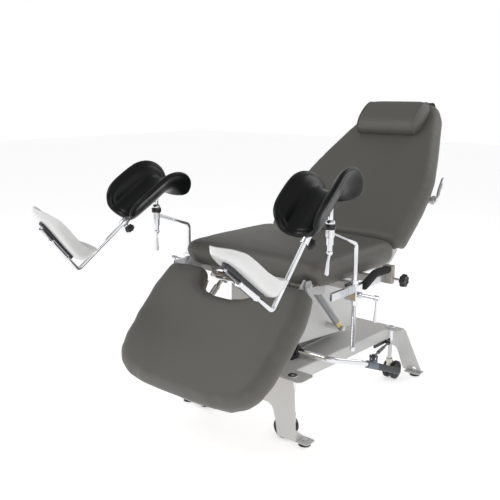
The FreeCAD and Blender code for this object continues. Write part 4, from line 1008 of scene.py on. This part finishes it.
def tilt_spring():
    """Gas spring beside the lift housing: grey dust sleeve over the cylinder, brass collar and two eyes."""
    low = Vector(JOINTS["tilt_spring_swing"]["pos_m"])
    d = Vector(JOINTS["tilt_spring_stroke"]["axis"])
    length = SPRING_LEN
    cover = [(0.046, 0.0112), (0.046, 0.0125), (0.232, 0.0125), (0.238, 0.0115), (0.238, 0.0050)]
    sleeve = lathe("tilt_spring_sleeve", eased(cover, 0.0008), low, d, "spring_grey")
    rod = drum("tilt_spring_stem", low + d * 0.230, low + d * (length - 0.006), 0.005, "steel")
    high, half = low + d * length, X_AXIS * 0.008
    eye = drum("tilt_spring_upper_eye", high - half, high + half, 0.009, "steel")
    body = drum("tilt_spring_tube", low + d * 0.034, low + d * 0.186, 0.0105, "spring_grey")
    brass = [(0.014, 0.005), (0.018, 0.0098), (0.022, 0.0112), (0.040, 0.0112), (0.043, 0.0104), (0.043, 0.005)]
    collar = lathe("tilt_spring_collar", eased(brass, 0.0008), low, d, "brass")
    foot = drum("tilt_spring_lower_eye", low - half, low + half, 0.0085, "steel")
    for piece in (sleeve, rod, eye):
        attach(piece, "tilt_spring_rod")
    for piece in (body, collar, foot):
        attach(piece, "tilt_spring_cylinder")
    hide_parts("tilt_spring_rod")
    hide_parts("tilt_spring_cylinder")


def backrest_lever():
    """Release lever: a short chromed blade lying along the edge of the backrest."""
    def at(x, t, n):
        return BACK_PIVOT + X_AXIS * x + BACK_T * t + BACK_N * n

    path = round_path([at(0.303, LEVER_T, LEVER_N), at(0.304, 0.335, LEVER_N), at(0.296, 0.372, LEVER_N),
                       at(0.290, 0.428, -0.015)], 0.02, 0.003)
    radii = [0.0045 + 0.0035 * min(1.0, k / (0.55 * len(path))) for k in range(len(path))]
    blade = tube("backrest_lever_blade", path, radii, "chrome", 20)
    dome = [(0.008 * math.sin(a), 0.008 * math.cos(a) + 1e-5) for a in np.linspace(0, math.pi / 2, 9)]
    tip = lathe("backrest_lever_tip", dome, path[-1], path[-1] - path[-2], "chrome")
    boss = drum("backrest_lever_boss", at(0.3001, LEVER_T, LEVER_N), at(0.309, LEVER_T, LEVER_N), 0.009,
                "chrome")
    for piece in (blade, tip, boss):
        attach(piece, "backrest_lever")
    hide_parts("backrest_lever")


backrest_lever()
for side in HOLDERS:
    knee_crutch(side)
    foot_rest(side)
    handgrip(side)
    knee_rod(side)
knobs()
castor_wheels()
tilt_spring()


# ------------------------------------------------------- carried-over metal
for part in frame["record"]["subparts"]:
    node = NODES[part["node"]]
    for slot in node.material_slots:
        slot.material = M[part["material_slot"]]
SHEET_METAL = ("base_deck", "foot_end_plate", "head_end_plate", "lift_shrouds", "seat_frame", "backrest_frame",
               "foot_frame", "lift_column", "lift_ram", "side_rails", "grip_clamps", "pump_fittings")
for name in SHEET_METAL:
    rounded(NODES[name])


# --------------------------------------------------------------------- stage
def stage():
    white = moulded("floor", (0.90, 0.90, 0.90), 0.7, 0.00002)
    glow = white.node_tree.nodes["Principled BSDF"]
    glow.inputs["Emission Color"].default_value = (1.0, 1.0, 1.0, 1.0)
    glow.inputs["Emission Strength"].default_value = 0.55
    floor = mesh_piece("floor", [(-14, -14, 0), (14, -14, 0), (14, 14, 0), (-14, 14, 0)], [(0, 1, 2, 3)], white)
    world = bpy.data.worlds.new("studio")
    bpy.context.scene.world = world
    world.use_nodes = True
    tree = world.node_tree
    back = tree.nodes["Background"]
    back.inputs["Strength"].default_value = 1.0
    # white round the horizon, dimmer overhead
    place = tree.nodes.new("ShaderNodeTexCoord")
    split = tree.nodes.new("ShaderNodeSeparateXYZ")
    ramp = tree.nodes.new("ShaderNodeValToRGB")
    ramp.color_ramp.elements[0].position = 0.16
    ramp.color_ramp.elements[0].color = (1.0, 1.0, 1.0, 1.0)
    ramp.color_ramp.elements[1].position = 0.42
    ramp.color_ramp.elements[1].color = (0.38, 0.38, 0.39, 1.0)
    tree.links.new(place.outputs["Generated"], split.inputs["Vector"])
    tree.links.new(split.outputs["Z"], ramp.inputs["Fac"])
    tree.links.new(ramp.outputs["Color"], back.inputs["Color"])
    bpy.context.scene.view_settings.view_transform = "Standard"
    centre = (CAD_BOX[0] + CAD_BOX[1]) / 2
    lamps = (("key", (-1.6, -2.6, 3.2), 1.6, 30.0), ("fill", (3.0, -1.2, 1.8), 2.0, 10.0),
             ("back", (1.2, 2.6, 2.8), 1.6, 16.0))
    for name, place, size, power in lamps:
        light = bpy.data.lights.new(name, "AREA")
        light.size = size
        light.energy = power
        lamp = bpy.data.objects.new(name, light)
        bpy.context.scene.collection.objects.link(lamp)
        lamp.location = place
        lamp.rotation_euler = (centre - Vector(place)).to_track_quat("-Z", "Y").to_euler()


def camera():
    data = bpy.data.cameras.new("camera")
    data.lens = 50.53
    data.sensor_width = 36.0
    made = bpy.data.objects.new("camera", data)
    bpy.context.scene.collection.objects.link(made)
    made.location = (1.489, -2.0367, 1.128)
    made.rotation_euler = (math.radians(77.44), math.radians(-0.13), math.radians(40.04))
    bpy.context.scene.camera = made


stage()
camera()
